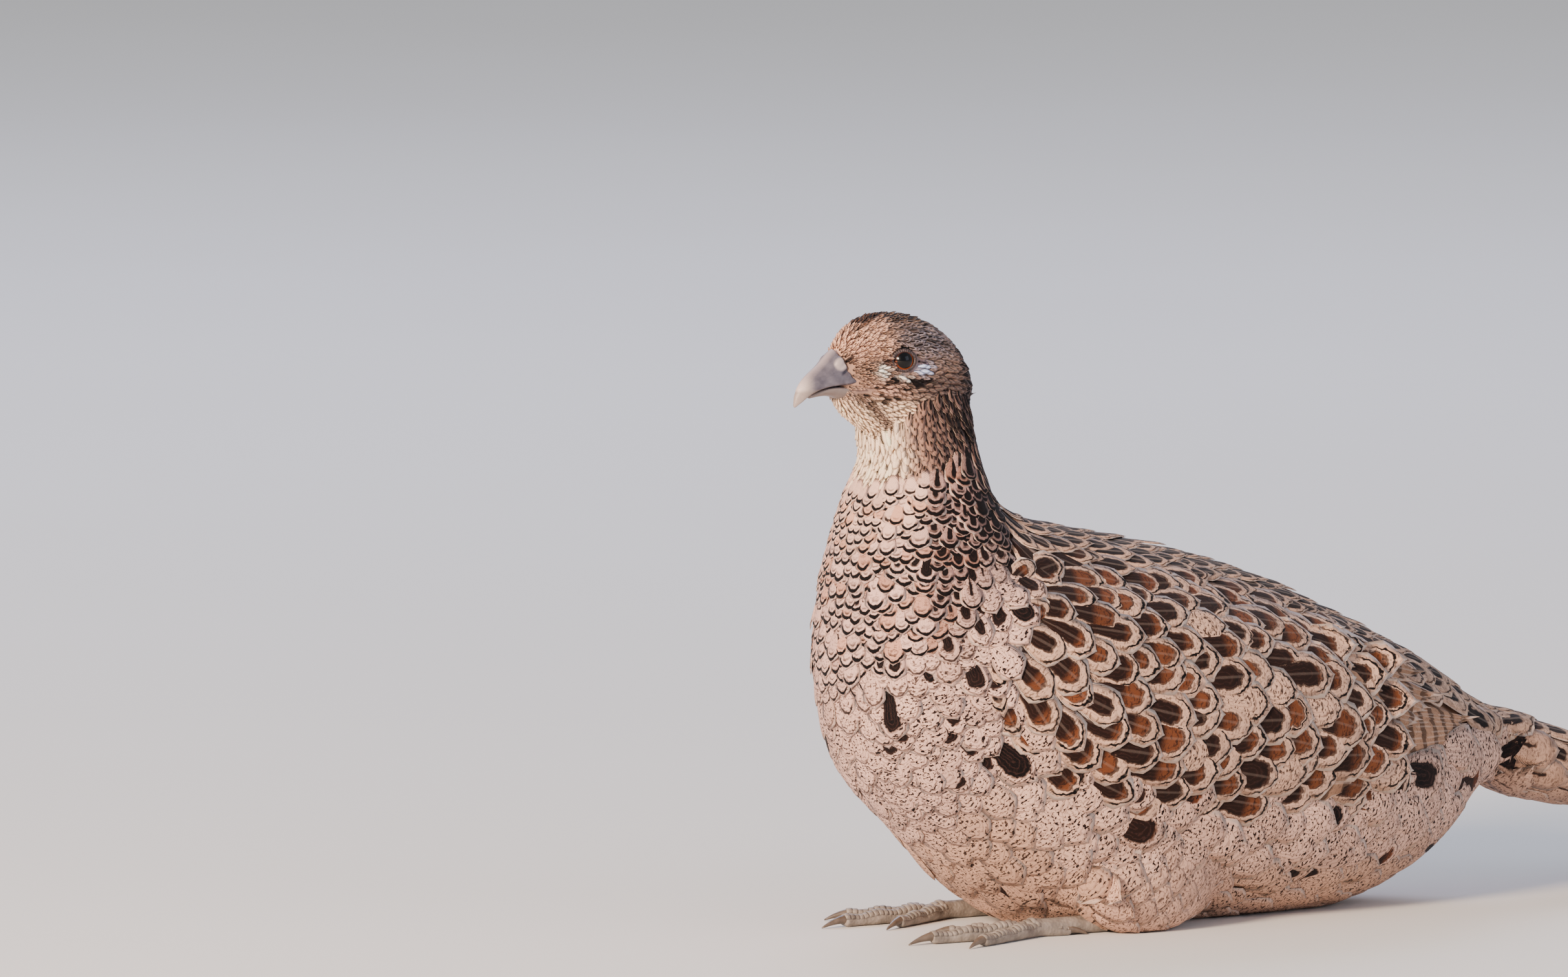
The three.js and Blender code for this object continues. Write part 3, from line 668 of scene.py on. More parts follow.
# each step: its name, what is done, and to what. FADE goes from 0 at its first limit to 1 at its second,
# PAINT lays a colour over another by a share, and the rest are sums on numbers.
FEATHER_STEPS = [
    # how far from the shaft and how far into the tip, then one distance to the rim that is 1 at the rim
    ("across", "MULTIPLY_ADD", "u", 2.0, -1.0), ("side", "ABSOLUTE", "across"),
    ("far", "MULTIPLY_ADD", "v", 2.1, -1.1), ("tip", "MAXIMUM", "far", 0.0),
    ("side_power", "POWER", "side", 2.6), ("tip_power", "POWER", "tip", 2.6),
    ("both", "ADD", "side_power", "tip_power"), ("rim", "POWER", "both", 1 / 2.6),
    ("at_tip", "FADE", "tip", 0.1, 0.45),
    # edges of the markings wander by the width of a few barbs
    ("wobble", "MULTIPLY_ADD", "wander", 0.3, -0.15), ("from_rim", "ADD", "rim", "wobble"),
    ("reach", "MULTIPLY", "length", 0.45),
    # the heart, black towards the root and its own colour towards the tip, with a dark edge
    ("has_heart", "GREATER_THAN", "heart_size", 0.02), ("past_heart", "SUBTRACT", "from_rim", "heart_size"),
    ("in_heart", "FADE", "past_heart", 0.06, -0.06), ("heart_mask", "MULTIPLY", "in_heart", "has_heart"),
    ("chosen", "MULTIPLY_ADD", "luck", 0.34, "v"), ("rootward", "FADE", "chosen", 0.90, 0.76),
    ("black_root", "MULTIPLY", "rootward", 0.92), ("heart_colour", "PAINT", "black_root", "heart", INK),
    ("marked", "PAINT", "heart_mask", "ground", "heart_colour"),
    ("from_heart", "ABSOLUTE", "past_heart"), ("from_heart_mm", "MULTIPLY", "from_heart", "reach"),
    ("near_heart", "FADE", "from_heart_mm", 0.5, 0.1), ("heart_edge", "MULTIPLY", "near_heart", "heart_rim"),
    ("heart_edge_mask", "MULTIPLY", "heart_edge", "has_heart"),
    ("edged", "PAINT", "heart_edge_mask", "marked", INK),
    # thin wavy lines that follow the rim
    ("waves", "MULTIPLY", "from_rim", 34.0), ("ripple", "SINE", "waves"),
    ("ripple_mask", "FADE", "ripple", 0.3, 1.0),
    ("ripple_share", "MULTIPLY", "flecks", 0.4), ("rippled_mask", "MULTIPLY", "ripple_mask", "ripple_share"),
    ("rippled", "PAINT", "rippled_mask", "edged", "#4A302B"),
    # flecks across the barbs
    ("fleck_mask", "FADE", "freckle", 0.55, 0.61), ("flecked_mask", "MULTIPLY", "fleck_mask", "flecks"),
    ("flecked", "PAINT", "flecked_mask", "rippled", "#1B0F0E"),
    # the ring inside the pale edge, and a finer line inside that one
    ("to_ring", "SUBTRACT", "from_rim", "ring_at"), ("off_ring", "ABSOLUTE", "to_ring"),
    ("ring_mm", "MULTIPLY", "off_ring", "reach"), ("ring_half", "MULTIPLY_ADD", "ring_strength", 0.6, 0.12),
    ("beyond_ring", "SUBTRACT", "ring_mm", "ring_half"), ("in_ring", "FADE", "beyond_ring", 0.15, -0.15),
    ("ring_deep", "MULTIPLY", "ring_strength", 1.7), ("ring_share", "MINIMUM", "ring_deep", 1.0),
    ("ring_tip", "MULTIPLY", "ring_share", "at_tip"), ("ring_mask", "MULTIPLY", "in_ring", "ring_tip"),
    ("ringed", "PAINT", "ring_mask", "flecked", INK),
    ("to_inner", "ADD", "to_ring", 0.36), ("off_inner", "ABSOLUTE", "to_inner"),
    ("inner_mm", "MULTIPLY", "off_inner", "reach"), ("inner_half", "MULTIPLY", "ring_strength", 0.42),
    ("beyond_inner", "SUBTRACT", "inner_mm", "inner_half"), ("in_inner", "FADE", "beyond_inner", 0.15, -0.15),
    ("inner_tip", "MULTIPLY", "ring_strength", "at_tip"), ("inner_mask", "MULTIPLY", "in_inner", "inner_tip"),
    ("lined", "PAINT", "inner_mask", "ringed", INK),
    # bars across the long feathers, in step with their length
    ("along_mm", "MULTIPLY", "v", "length"), ("bar_turn", "MULTIPLY", "along_mm", 0.78),
    ("bar_bend", "MULTIPLY_ADD", "side", -1.2, "bar_turn"),
    ("bar_wander", "MULTIPLY_ADD", "wobble", 9.0, "bar_bend"),
    ("bar_wave", "SINE", "bar_wander"), ("in_bar", "FADE", "bar_wave", 0.15, 0.6),
    ("bar_mask", "MULTIPLY", "in_bar", "bars"), ("barred", "PAINT", "bar_mask", "lined", "#33221A"),
    # the pale edge and the pale shaft
    ("at_edge", "FADE", "from_rim", 0.87, 0.97), ("edge_mask", "MULTIPLY", "at_edge", "fringe"),
    ("fringed", "PAINT", "edge_mask", "barred", PALE_EDGE),
    ("side_mm", "MULTIPLY", "side", "width"), ("on_shaft", "FADE", "side_mm", 1.3, 0.4),
    ("shaft_mask", "MULTIPLY", "on_shaft", "shaft"), ("colour", "PAINT", "shaft_mask", "fringed", PALE_EDGE),
    # barbs slant from the shaft to the edge, and run straight on at the tip
    ("v_square", "MULTIPLY", "v", "v"), ("steep", "MULTIPLY_ADD", "v_square", 1.6, 0.25),
    ("slant", "MULTIPLY", "side_mm", "steep"),
    ("barb_mm", "SUBTRACT", "along_mm", "slant"), ("barb_turn", "MULTIPLY", "barb_mm", 9.0),
    ("barbs", "SINE", "barb_turn"), ("barb_shade", "MULTIPLY_ADD", "barbs", 0.07, 0.97),
    ("soft_relief", "MULTIPLY", "wander", 0.6), ("relief", "MULTIPLY_ADD", "barbs", 0.5, "soft_relief"),
]


def build_feather_material():
    """The material of every feather, built from the table of steps."""
    material, tree = new_material("feather_keratin_barbed_vane")
    made = {}
    uv = add(tree, "ShaderNodeSeparateXYZ", {0: add(tree, "ShaderNodeUVMap", uv_map="Vane")})
    made["u"], made["v"] = uv.outputs["X"], uv.outputs["Y"]
    for attribute, names in [("marks", ("heart_size", "ring_at", "ring_strength")),
                             ("more_marks", ("flecks", "bars", "shaft")),
                             ("span", ("length", "width", "luck"))]:
        given = add(tree, "ShaderNodeAttribute", attribute_name=attribute).outputs["Vector"]
        made.update(zip(names, add(tree, "ShaderNodeSeparateXYZ", {0: given}).outputs))
    for attribute, output in [("ground", "Color"), ("heart", "Color"), ("fringe", "Fac"),
                              ("heart_rim", "Fac")]:
        stored = add(tree, "ShaderNodeAttribute", attribute_name=attribute)
        made[attribute] = stored.outputs[output]
    place = add(tree, "ShaderNodeTexCoord").outputs["Object"]
    wander = add(tree, "ShaderNodeTexNoise", {"Vector": place, "Scale": 420.0, "Detail": 2.0})
    made["wander"] = wander.outputs["Fac"]
    # the flecks' own map: dashes 0.6 mm long and a millimetre wide, other ones on every feather
    dashes = add(tree, "ShaderNodeCombineXYZ", {
        "X": add(tree, "ShaderNodeMath", {0: made["u"], 1: made["width"]}, operation="MULTIPLY"),
        "Y": add(tree, "ShaderNodeMath", {0: made["v"], 1: made["length"]}, operation="MULTIPLY"),
        "Z": add(tree, "ShaderNodeMath", {0: made["luck"], 1: 60.0}, operation="MULTIPLY")})
    dashes = add(tree, "ShaderNodeVectorMath", {0: dashes, 1: (0.75, 1.3, 1.0)}, operation="MULTIPLY")
    freckle = add(tree, "ShaderNodeTexNoise",
                  {"Vector": dashes, "Scale": 1.0, "Detail": 1.5, "Roughness": 0.6})
    made["freckle"] = freckle.outputs["Fac"]
    for name, kind, *values in FEATHER_STEPS:
        values = [made.get(value, value) if isinstance(value, str) else value for value in values]
        if kind == "FADE":
            node = add(tree, "ShaderNodeMapRange", dict(zip(("Value", "From Min", "From Max"), values)),
                       interpolation_type="SMOOTHSTEP")
        elif kind == "PAINT":
            over = linear(values[2]) if isinstance(values[2], str) else values[2]
            node = add(tree, "ShaderNodeMix", {"Factor": values[0], 6: values[1], 7: over},
                       data_type="RGBA")
        else:
            node = add(tree, "ShaderNodeMath", dict(enumerate(values)), operation=kind)
        made[name] = node.outputs[2 if kind == "PAINT" else 0]
    shade = add(tree, "ShaderNodeMix", {"Factor": 1.0, 6: made["colour"], 7: made["barb_shade"]},
                data_type="RGBA", blend_type="MULTIPLY")
    bump = add(tree, "ShaderNodeBump", {"Height": made["relief"], "Strength": 0.35, "Distance": 0.00022})
    shader = add(tree, "ShaderNodeBsdfPrincipled", {
        "Base Color": shade.outputs[2], "Normal": bump, "Roughness": 0.72, "Specular IOR Level": 0.12,
        "Sheen Weight": 0.03, "Sheen Roughness": 0.5})
    add(tree, "ShaderNodeOutputMaterial", {"Surface": shader})
    return material


feather_material = build_feather_material()
print("feather material:", len(feather_material.node_tree.nodes), "nodes")

# %% [markdown]
# ## Laying a coat
#
# A cloud of roots with their numbers goes through the tree and comes back as one plain mesh. Every feather's
# numbers ride on its points, so one material paints them all.


# %% A function that lays a coat
# a feather's numbers stand in one row, in this order
GROUND, HEART, HEART_SIZE, RING_STRENGTH, FLECKS, FRINGE = slice(0, 3), slice(3, 6), 6, 8, 9, 12


def lay_coat(name, roots, out, lie, sizes, marks, vane, root_uv, surface=None,
             ruffle=0.12, thickness=0.00028, free=(0.005, 0.012), heart_rim=0.0):
    """One plain mesh of feathers from their roots, directions, sizes in millimetres and markings."""
    cloud = mesh_piece(name + "_roots", roots, [])
    count = len(roots)
    attach("out", cloud, out)
    attach("lie", cloud, lie)
    wide_long_deep = np.asarray(sizes)[:, [1, 0, 2]] * MM
    attach("size", cloud, wide_long_deep)
    opaque = np.ones((count, 1))
    shade = 1 + chance.normal(0, 0.07, (count, 1))
    for title, place in (("ground", GROUND), ("heart", HEART)):
        colour = np.concatenate([np.clip(marks[:, place] * shade, 0, 1), opaque], axis=1)
        attach(title, cloud, colour, "FLOAT_COLOR")
    attach("marks", cloud, marks[:, HEART_SIZE:FLECKS] * (1 + chance.normal(0, 0.05, (count, 3))))
    attach("more_marks", cloud, marks[:, FLECKS:FRINGE])
    attach("fringe", cloud, marks[:, FRINGE], "FLOAT")
    attach("heart_rim", cloud, np.full(count, heart_rim), "FLOAT")
    attach("span", cloud, np.stack([sizes[:, 0], sizes[:, 1], chance.random(count)], axis=1))
    attach("root_uv", cloud, np.concatenate([root_uv, np.zeros((count, 1))], axis=1))
    layer = cloud.modifiers.new("feathers", "NODES")
    layer.node_group = feather_tree
    for title, value in [("Vane", vanes[vane]), ("Surface", surface or skin), ("Material", feather_material),
                         ("Thickness", thickness), ("Ruffle", ruffle), ("Free from", free[0]),
                         ("Free to", free[1]), ("Seed", 5)]:
        layer[FEATHER_INPUTS[title]] = value
    made = bake_modifiers(cloud)
    cloud.name = made.name = name
    for spent in ("out", "lie", "size", "stand", "face", "root_uv"):
        if spent in made.attributes:
            made.attributes.remove(made.attributes[spent])
    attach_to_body(cloud, "root")
    print(name, count, "feathers", len(made.polygons) * 2, "triangles")
    return cloud


def flat_marks(marks, count):
    """The same numbers for every feather."""
    ground, heart, *rest = marks
    return np.tile([*linear(ground)[:3], *linear(heart)[:3], *rest], (count, 1))


def body_uv(places, angles):
    """Where a root is on the unwrapped body, in the lower half of the map."""
    around = 0.02 + 0.96 * (angles + math.pi) / (2 * math.pi)
    return np.stack([around, 0.02 + 0.5 * (places + 4) / 18], axis=1)


# %% Lay the body's coats
lie, out = surface_frame(on_body, root_p, root_a)
degrees = np.abs(np.degrees(root_a))
stretch = 1 + chance.normal(0, 0.07, len(root_p))
depth = coat_depth(root_p) * (1.12 + chance.normal(0, 0.1, len(root_p)))
body_sizes = np.stack([body_marks[:, 1] * stretch, body_marks[:, 2] * stretch, depth], axis=1)
# sparse bold spots on the flanks and breast: some feathers have a big dark heart
spotted = np.interp(root_p, [0, 7.2, 8.2, 10.2, 11.4], [0.2, 0.24, 0.42, 0.4, 0.0])
spotted *= np.interp(degrees, [50, 66, 120, 150], [0.6, 1.0, 0.6, 0.1])
bold = (chance.random(len(root_p)) < spotted) & (degrees > 50)
body_feather_marks = body_marks[:, 3:].copy()  # after the spacing, the length and the width
body_feather_marks[bold, HEART] = linear("#1A0E0C")[:3]
spot_size = np.where(root_p[bold] > 8.6, 0.42, 0.52)
body_feather_marks[bold, HEART_SIZE] = spot_size + chance.normal(0, 0.05, bold.sum())
body_feather_marks[bold, RING_STRENGTH] = np.maximum(body_feather_marks[bold, RING_STRENGTH], 0.35)
# some chestnut hearts among the dark ones on the flanks, and an orange tinge here and there on the neck
rusty = bold & (root_p < 7.5) & (chance.random(len(root_p)) < 0.5)
body_feather_marks[rusty, HEART] = linear("#6E3A20")[:3]
tinged = (root_p > 9.2) & (chance.random(len(root_p)) < 0.2)
body_feather_marks[tinged, GROUND] *= [0.88, 0.74, 0.64]
uv_at = body_uv(root_p, root_a)
PIECES = {
    "coat_mantle": ((root_p > 1.6) & (root_p <= 9.4) & (degrees <= 30), "pointed"),
    "coat_sides": ((root_p > -0.6) & (root_p <= 7.6) & (degrees > 30) & (degrees <= 128), "round"),
    "coat_belly": ((root_p > -0.6) & (root_p <= 7.6) & (degrees > 128), "round"),
    "coat_breast": ((root_p > 7.6) & (root_p <= 9.9) & (degrees > 30), "round"),
    "coat_neck": (((root_p > 9.4) & (degrees <= 30)) | ((root_p > 9.9) & (degrees > 30)), "blunt"),
    "coat_rump": (((root_p <= 1.6) & (degrees <= 30)) | ((root_p <= -0.6) & (degrees > 30)), "round"),
}
for name, (chosen, vane) in PIECES.items():
    lay_coat(name, root_at[chosen], out[chosen], lie[chosen], body_sizes[chosen],
             body_feather_marks[chosen], vane, uv_at[chosen])

# %% Lay the thighs' coats
# the thighs bulge from the body, so they are swept by themselves
THIGH_SPACING, THIGH_FEATHER = 6.5, (20.0, 13.0, 3.2)
THIGH_MARKS = ("#D3A994", "#7A4A30", 0.0, 0.8, 0.2, 0.8, 0, 0, 0.4)
THIGH_LIE = (1.0, 0.0, -0.25)
radii = np.array([THIGH["long"], THIGH["wide"], THIGH["high"]])
v, u = np.meshgrid(np.arange(0.25, math.pi - 0.1, 0.05), full_turn(70), indexing="ij")
for side_name, side in SIDES.items():
    middle = [THIGH["x"], side * THIGH["side"], THIGH["z"]]
    ball = np.stack([-np.cos(v), side * np.sin(v) * np.cos(u), np.sin(v) * np.sin(u)], axis=-1)
    at = ball.reshape(-1, 3) * radii + middle
    at = at[sweep(at, np.full(len(at), THIGH_SPACING))]
    at = at[on_skin(at, 0.9) & (np.abs(at[:, 1]) > THIGH["side"])]
    out = unit((at - middle) / radii**2)
    lie = np.tile(THIGH_LIE, (len(at), 1))
    lie = unit(lie - out * np.sum(lie * out, axis=1, keepdims=True))
    lay_coat("coat_thigh_" + side_name, at, out, lie, np.tile(THIGH_FEATHER, (len(at), 1)),
             flat_marks(THIGH_MARKS, len(at)), "round",
             np.stack([0.8 + at[:, 0] * 0.0006, 0.9 + at[:, 2] * 0.0006], axis=1))

# %% [markdown]
# ## The folded wings
#
# On a folded wing only the coverts, the tertials and the edges of the flight feathers show. The coverts
# stand in rows like the body's feathers and are marked like the scapulars, a chestnut heart in buff. Under
# them lie the long quills, each from its root to its tip along a straight line over the wing.


# %% Lay the wing coverts and quills
COVERT_MARKS = ("#D2A991", "#683A22", 0.58, 0.78, 0.62, 0.6, 0.0, 0.05, 1.0)
QUILL_MARKS = ("#AE8468", "#5B4335", 0.0, 0.72, 0.2, 0.3, 0.75, 0.2, 0.55)
# count; the first quill's root and tip, and the last one's, as places along and shares across; width;
# depth
QUILLS = {
    "primaries": (9, ((4.6, 0.60), (8.15, 0.34)), ((4.6, 0.84), (7.0, 0.88)), 15, 2.6),
    "secondaries": (12, ((3.6, 0.22), (7.2, 0.26)), ((3.2, 0.86), (5.4, 0.92)), 19, 4.2),
    "tertials": (5, ((3.3, 0.06), (6.9, 0.08)), ((3.2, 0.40), (6.0, 0.48)), 19, 5.6),
}


def wing_uv(points, shift):
    """Where a root is on the unwrapped wing, in the upper half of the map."""
    return 0.02 + 0.3 * np.stack([(points[:, 0] + 100) / 260, points[:, 2] / 150], axis=1) + [shift, 0.62]


def wing_frame(side, along, share, tip_along, tip_share):
    """For quills from one place to another: the root, the lie, the outward direction and the length."""
    root = on_wing(side, along, share, -SKIN_DEPTH["wing"])
    tip = on_wing(side, tip_along, tip_share, -SKIN_DEPTH["wing"])
    middle = ((along + tip_along) / 2, (share + tip_share) / 2)
    out = unit(on_wing(side, *middle, 1.0) - on_wing(side, *middle, 0.0))
    return root, unit(tip - root), out, np.linalg.norm(tip - root, axis=1)


for side_name, side in SIDES.items():
    laid = []
    for count, first, last, width, deep in QUILLS.values():
        first, last = np.array(first)[..., None], np.array(last)[..., None]
        root_end, tip_end = first + (last - first) * np.linspace(0, 1, count)
        at, along, out, reach = wing_frame(side, *root_end, *tip_end)
        sizes = np.stack([reach, np.full(count, float(width)), np.full(count, float(deep))], axis=1)
        laid.append((at, out, along, sizes, flat_marks(QUILL_MARKS, count)))
    roots, outs, lies, sizes, marks = (np.concatenate(group) for group in zip(*laid))
    quills = lay_coat("wing_quills_" + side_name, roots, outs, lies, sizes, marks, "quill",
                      wing_uv(roots, 0), ruffle=0.015, thickness=0.0005,
                      free=(0.03, 0.05))
    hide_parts("wing_" + side_name)
    # coverts: swept like the body, from the bend of the wing backwards
    along, share = np.meshgrid(np.arange(0.1, 5.4, 0.03), np.linspace(0.02, 0.98, 60), indexing="ij")
    along, share = along.ravel(), share.ravel() + chance.normal(0, 0.004, along.size)
    at = on_wing(side, along, share, -SKIN_DEPTH["wing"])
    size_up = np.clip(along / 4.5, 0, 1)
    kept = sweep(at, 7.6 + 2.6 * size_up)
    along, share, at, size_up = along[kept], share[kept], at[kept], size_up[kept]
    length = 20 + 10 * size_up
    lie = unit(on_wing(side, along + 0.55, share, -SKIN_DEPTH["wing"]) - at)
    out = on_wing(side, along, share, 1.0) - on_wing(side, along, share, 0.0)
    depth = 3.4 + 2.4 * size_up * (1 - np.abs(2 * share - 1) ** 2) + chance.normal(0, 0.2, len(kept))
    length = length * (1 + chance.normal(0, 0.07, len(kept)))
    covert_marks = flat_marks(COVERT_MARKS, len(kept))
    smaller = 0.06 * np.clip(1 - along / 1.5, 0, 1)
    covert_marks[:, HEART_SIZE] += chance.uniform(-0.14, 0.04, len(kept)) - smaller
    plain = chance.random(len(kept)) < 0.10 + 0.25 * np.clip(1 - along / 1.2, 0, 1)
    covert_marks[plain, HEART_SIZE] = 0.0
    covert_marks[plain, FLECKS] = 0.9
    covert_sizes = np.stack([length, length * chance.uniform(0.5, 0.6, len(kept)), depth], axis=1)
    lay_coat("wing_coverts_" + side_name, at, out, lie, covert_sizes, covert_marks, "round",
             wing_uv(at, 0.33), ruffle=0.16, heart_rim=0.75)

# %% [markdown]
# ## The tail
#
# A hen's tail is long and pointed: nine pairs of narrow feathers, each pair shorter than the one over it,
# folded like a low roof. They leave the skin behind, so they get a surface of their own to lie on,
# a roof-shaped sheet that is removed afterwards.

# %% Lay the tail feathers
TAIL = {"x": 116, "z": 50, "slope": math.radians(10.7), "from": 30, "pairs": 9, "sheet": 0.48, "roof": 30}
TAIL_LENGTHS = (235, 96)
TAIL_WIDTH = 22
TAIL_MARKS = ("#A97F62", "#5E3B28", 0.5, 0.86, 0.25, 0.4, 0.85, 0.25, 0.4)


def tail_roof(distance, across):
    """A point of the roof, some distance from its start and some way across it."""
    x = TAIL["x"] + distance * math.cos(TAIL["slope"])
    z = TAIL["z"] - distance * math.sin(TAIL["slope"]) - across**2 / (2 * TAIL["roof"])
    return np.stack(np.broadcast_arrays(x, across, z), axis=-1)


distance, across = np.meshgrid(np.linspace(0, 250, 60), np.linspace(-24, 24, 33), indexing="ij")
roof_points = tail_roof(distance, across)
roof = mesh_piece("tail_roof", roof_points.reshape(-1, 3), grid_faces(60, 33, closed=False))
roof_normals = np.cross(np.gradient(roof_points, axis=0), np.gradient(roof_points, axis=1)).reshape(-1, 3)
roof_normals *= np.sign(roof_normals[:, 2:3])
attach("skin_normal", roof, unit(roof_normals))

pair = np.repeat(np.arange(TAIL["pairs"]), 2)
hand = np.tile([-1.0, 1.0], TAIL["pairs"])
share = pair / (TAIL["pairs"] - 1)
reach = TAIL_LENGTHS[0] + (TAIL_LENGTHS[1] - TAIL_LENGTHS[0]) * share
middle = hand * (3.0 + 7.5 * share)
count = len(pair)
layer_height = -(pair * 2 + (hand > 0)) * TAIL["sheet"] + 1.0
roots = tail_roof(np.full(count, float(TAIL["from"])), middle * 0.8)
tips = tail_roof(reach, middle)
length = np.linalg.norm(tips - roots, axis=1)
out = np.stack([np.full(count, math.sin(TAIL["slope"])), middle / TAIL["roof"],
                np.full(count, math.cos(TAIL["slope"]))], axis=1)
tail = lay_coat("tail_feathers", roots, out, unit(tips - roots),
                np.stack([length, np.full(count, float(TAIL_WIDTH)), layer_height], axis=1),
                flat_marks(TAIL_MARKS, count), "quill",
                np.stack([0.7 + 0.012 * np.arange(count), np.full(count, 0.7)], axis=1),
                surface=roof, ruffle=0.01, thickness=0.0006, free=(0.05, 0.08))
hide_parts("tail")
bpy.data.objects.remove(roof)

# %% [markdown]
# ## The bill
#
# The upper bill is a short curved horn with a ridge, a cutting edge that hangs over the lower bill, and a
# swollen flap over each nostril. It is lofted from the same rows as the solid, melted with its flaps at a
# third of a millimetre, and the nostril is pressed in under each flap.

# %% Model the bill
BILL_VOXEL = 0.28
FLAP = {"forward": 36.2, "side": 3.9, "up": 4.5, "radii": (2.9, 1.7, 2.2), "tilt": math.radians(55)}
NOSTRIL = {"forward": 34.5, "side": 6.2, "up": 1.9, "radii": (1.9, 3.0, 0.75), "deep": 1.25}
NOSTRIL_ALONG, NOSTRIL_DOWN = (0.82, 0, -0.57), (0.57, 0, 0.82)


def head_tube(rows, widest, count, sides):
    """A grid of points round a row of the head's cross-sections."""
    p, a = np.meshgrid(np.linspace(0, len(rows) - 1, count), full_turn(sides), indexing="ij")
    return section_points(rows, p, -a, widest)


def dome(centre, radii, tilt, count=16):
    """A grid of points round an egg shape, tilted in the head's upright plane."""
    v, u = np.meshgrid(np.linspace(0.04, math.pi - 0.04, count), full_turn(24), indexing="ij")
    ball = np.stack([np.sin(v) * np.cos(u) * radii[0], -np.cos(v) * radii[1],
                     np.sin(v) * np.sin(u) * radii[2]], axis=-1)
    turn = np.array([[math.cos(tilt), 0, math.sin(tilt)], [0, 1, 0],
                     [-math.sin(tilt), 0, math.cos(tilt)]])
    return ball @ turn.T + centre


upper_parts = [loft(head_tube(UPPER_BILL_ROWS, UPPER_BILL_WIDEST, 60, 40))]
for side in SIDES.values():
    at = np.array([FLAP["forward"], -side * FLAP["side"], FLAP["up"]])
    upper_parts.append(loft(dome(at, FLAP["radii"], FLAP["tilt"])))
upper = melted("bill_upper_horn", upper_parts, BILL_VOXEL, 5)
own = points_of(upper)
# the ridge of the culmen is sharper than the loft's, and the cutting edge has a thin lip
ridge = np.exp(-((own[:, 1] / 1.1) ** 2)) * np.clip((own[:, 0] - 33) / 8, 0, 1)
ridge *= np.clip((own[:, 2] + 9) / 3, 0, 1)
own[:, 2] += 0.4 * ridge * (own[:, 2] > -2 - (own[:, 0] - 40) * 0.2)
for side in SIDES.values():
    # the nostril, a slit under and behind the flap
    slit = np.array([NOSTRIL["forward"], -side * NOSTRIL["side"], NOSTRIL["up"]])
    away = (own - slit) @ np.array([NOSTRIL_ALONG, (0, 1, 0), NOSTRIL_DOWN]).T / NOSTRIL["radii"]
    own[:, 1] += side * NOSTRIL["deep"] * np.exp(-np.sum(away**2, axis=1))
attach("place", upper, own)
# its rear is drawn in under the skin, along a line that runs down and back from the forehead to the mouth
rear = np.interp(own[:, 2], [-3.5, 0.2, 8.0], [27.4, 32.6, 35.8]) - own[:, 0]
sunk = np.clip((rear + 0.6) / 1.6, 0, 1)
own[:, 1] *= 1 - 0.45 * sunk
own[:, 2] -= 1.6 * sunk * (own[:, 2] > 3)
move_points(upper, set_on_neck(own))
lower = melted("bill_lower_horn", [loft(head_tube(LOWER_BILL_ROWS, LOWER_BILL_WIDEST, 40, 32))],
               BILL_VOXEL, 4)
own = points_of(lower)
attach("place", lower, own)
# the two halves of the bill close on each other along a thin dark line
own[:, 2] += np.interp(own[:, 0], [24, 32, 40, 47], [0.1, 0.5, 0.95, 0.75])
own[:, 1] *= np.interp(own[:, 0], [28, 36, 46], [1.0, 0.97, 0.9])
move_points(lower, set_on_neck(own))
for piece in (upper, lower):
    tidy_normals(piece)
bill_tree = search_tree(upper)
print("bill:", len(upper.data.polygons), "and", len(lower.data.polygons), "faces")

# %% [markdown]
# ## The eyes
#
# An eye is a wet ball set deep behind its lids. The iris of a hen is orange brown with a large pupil. The
# ball is turned round its own axis, and each point keeps its distance from that axis, from which the
# material draws the pupil, the iris with its fine spokes, and the dark edge. A clear coat gives the shine.
# The lids are a bare ring of small beads, thicker above than below.

# %% Model the eyes and the lids
PUPIL = 2.6
CORNEA_REACH, CORNEA_BULGE = 3.6, 0.55
LID_BEADS, LID_STEPS, LID_SIDES = 33, 132, 14
eyes, lids = {}, {}


def eye_axes(side):
    """Forward along the eye's axis, and two directions across it, in the head's own frame."""
    turned, lifted = math.radians(EYE["turned"]), math.radians(EYE["lifted"])
    axis = np.array([math.sin(turned) * math.cos(lifted), -side * math.cos(turned) * math.cos(lifted),
                     math.sin(lifted)])
    across = unit(np.cross(axis, [0, 0, 1.0]))
    across *= np.sign(across[0])
    up = np.cross(across, axis)
    return axis, across, up * np.sign(up[2])


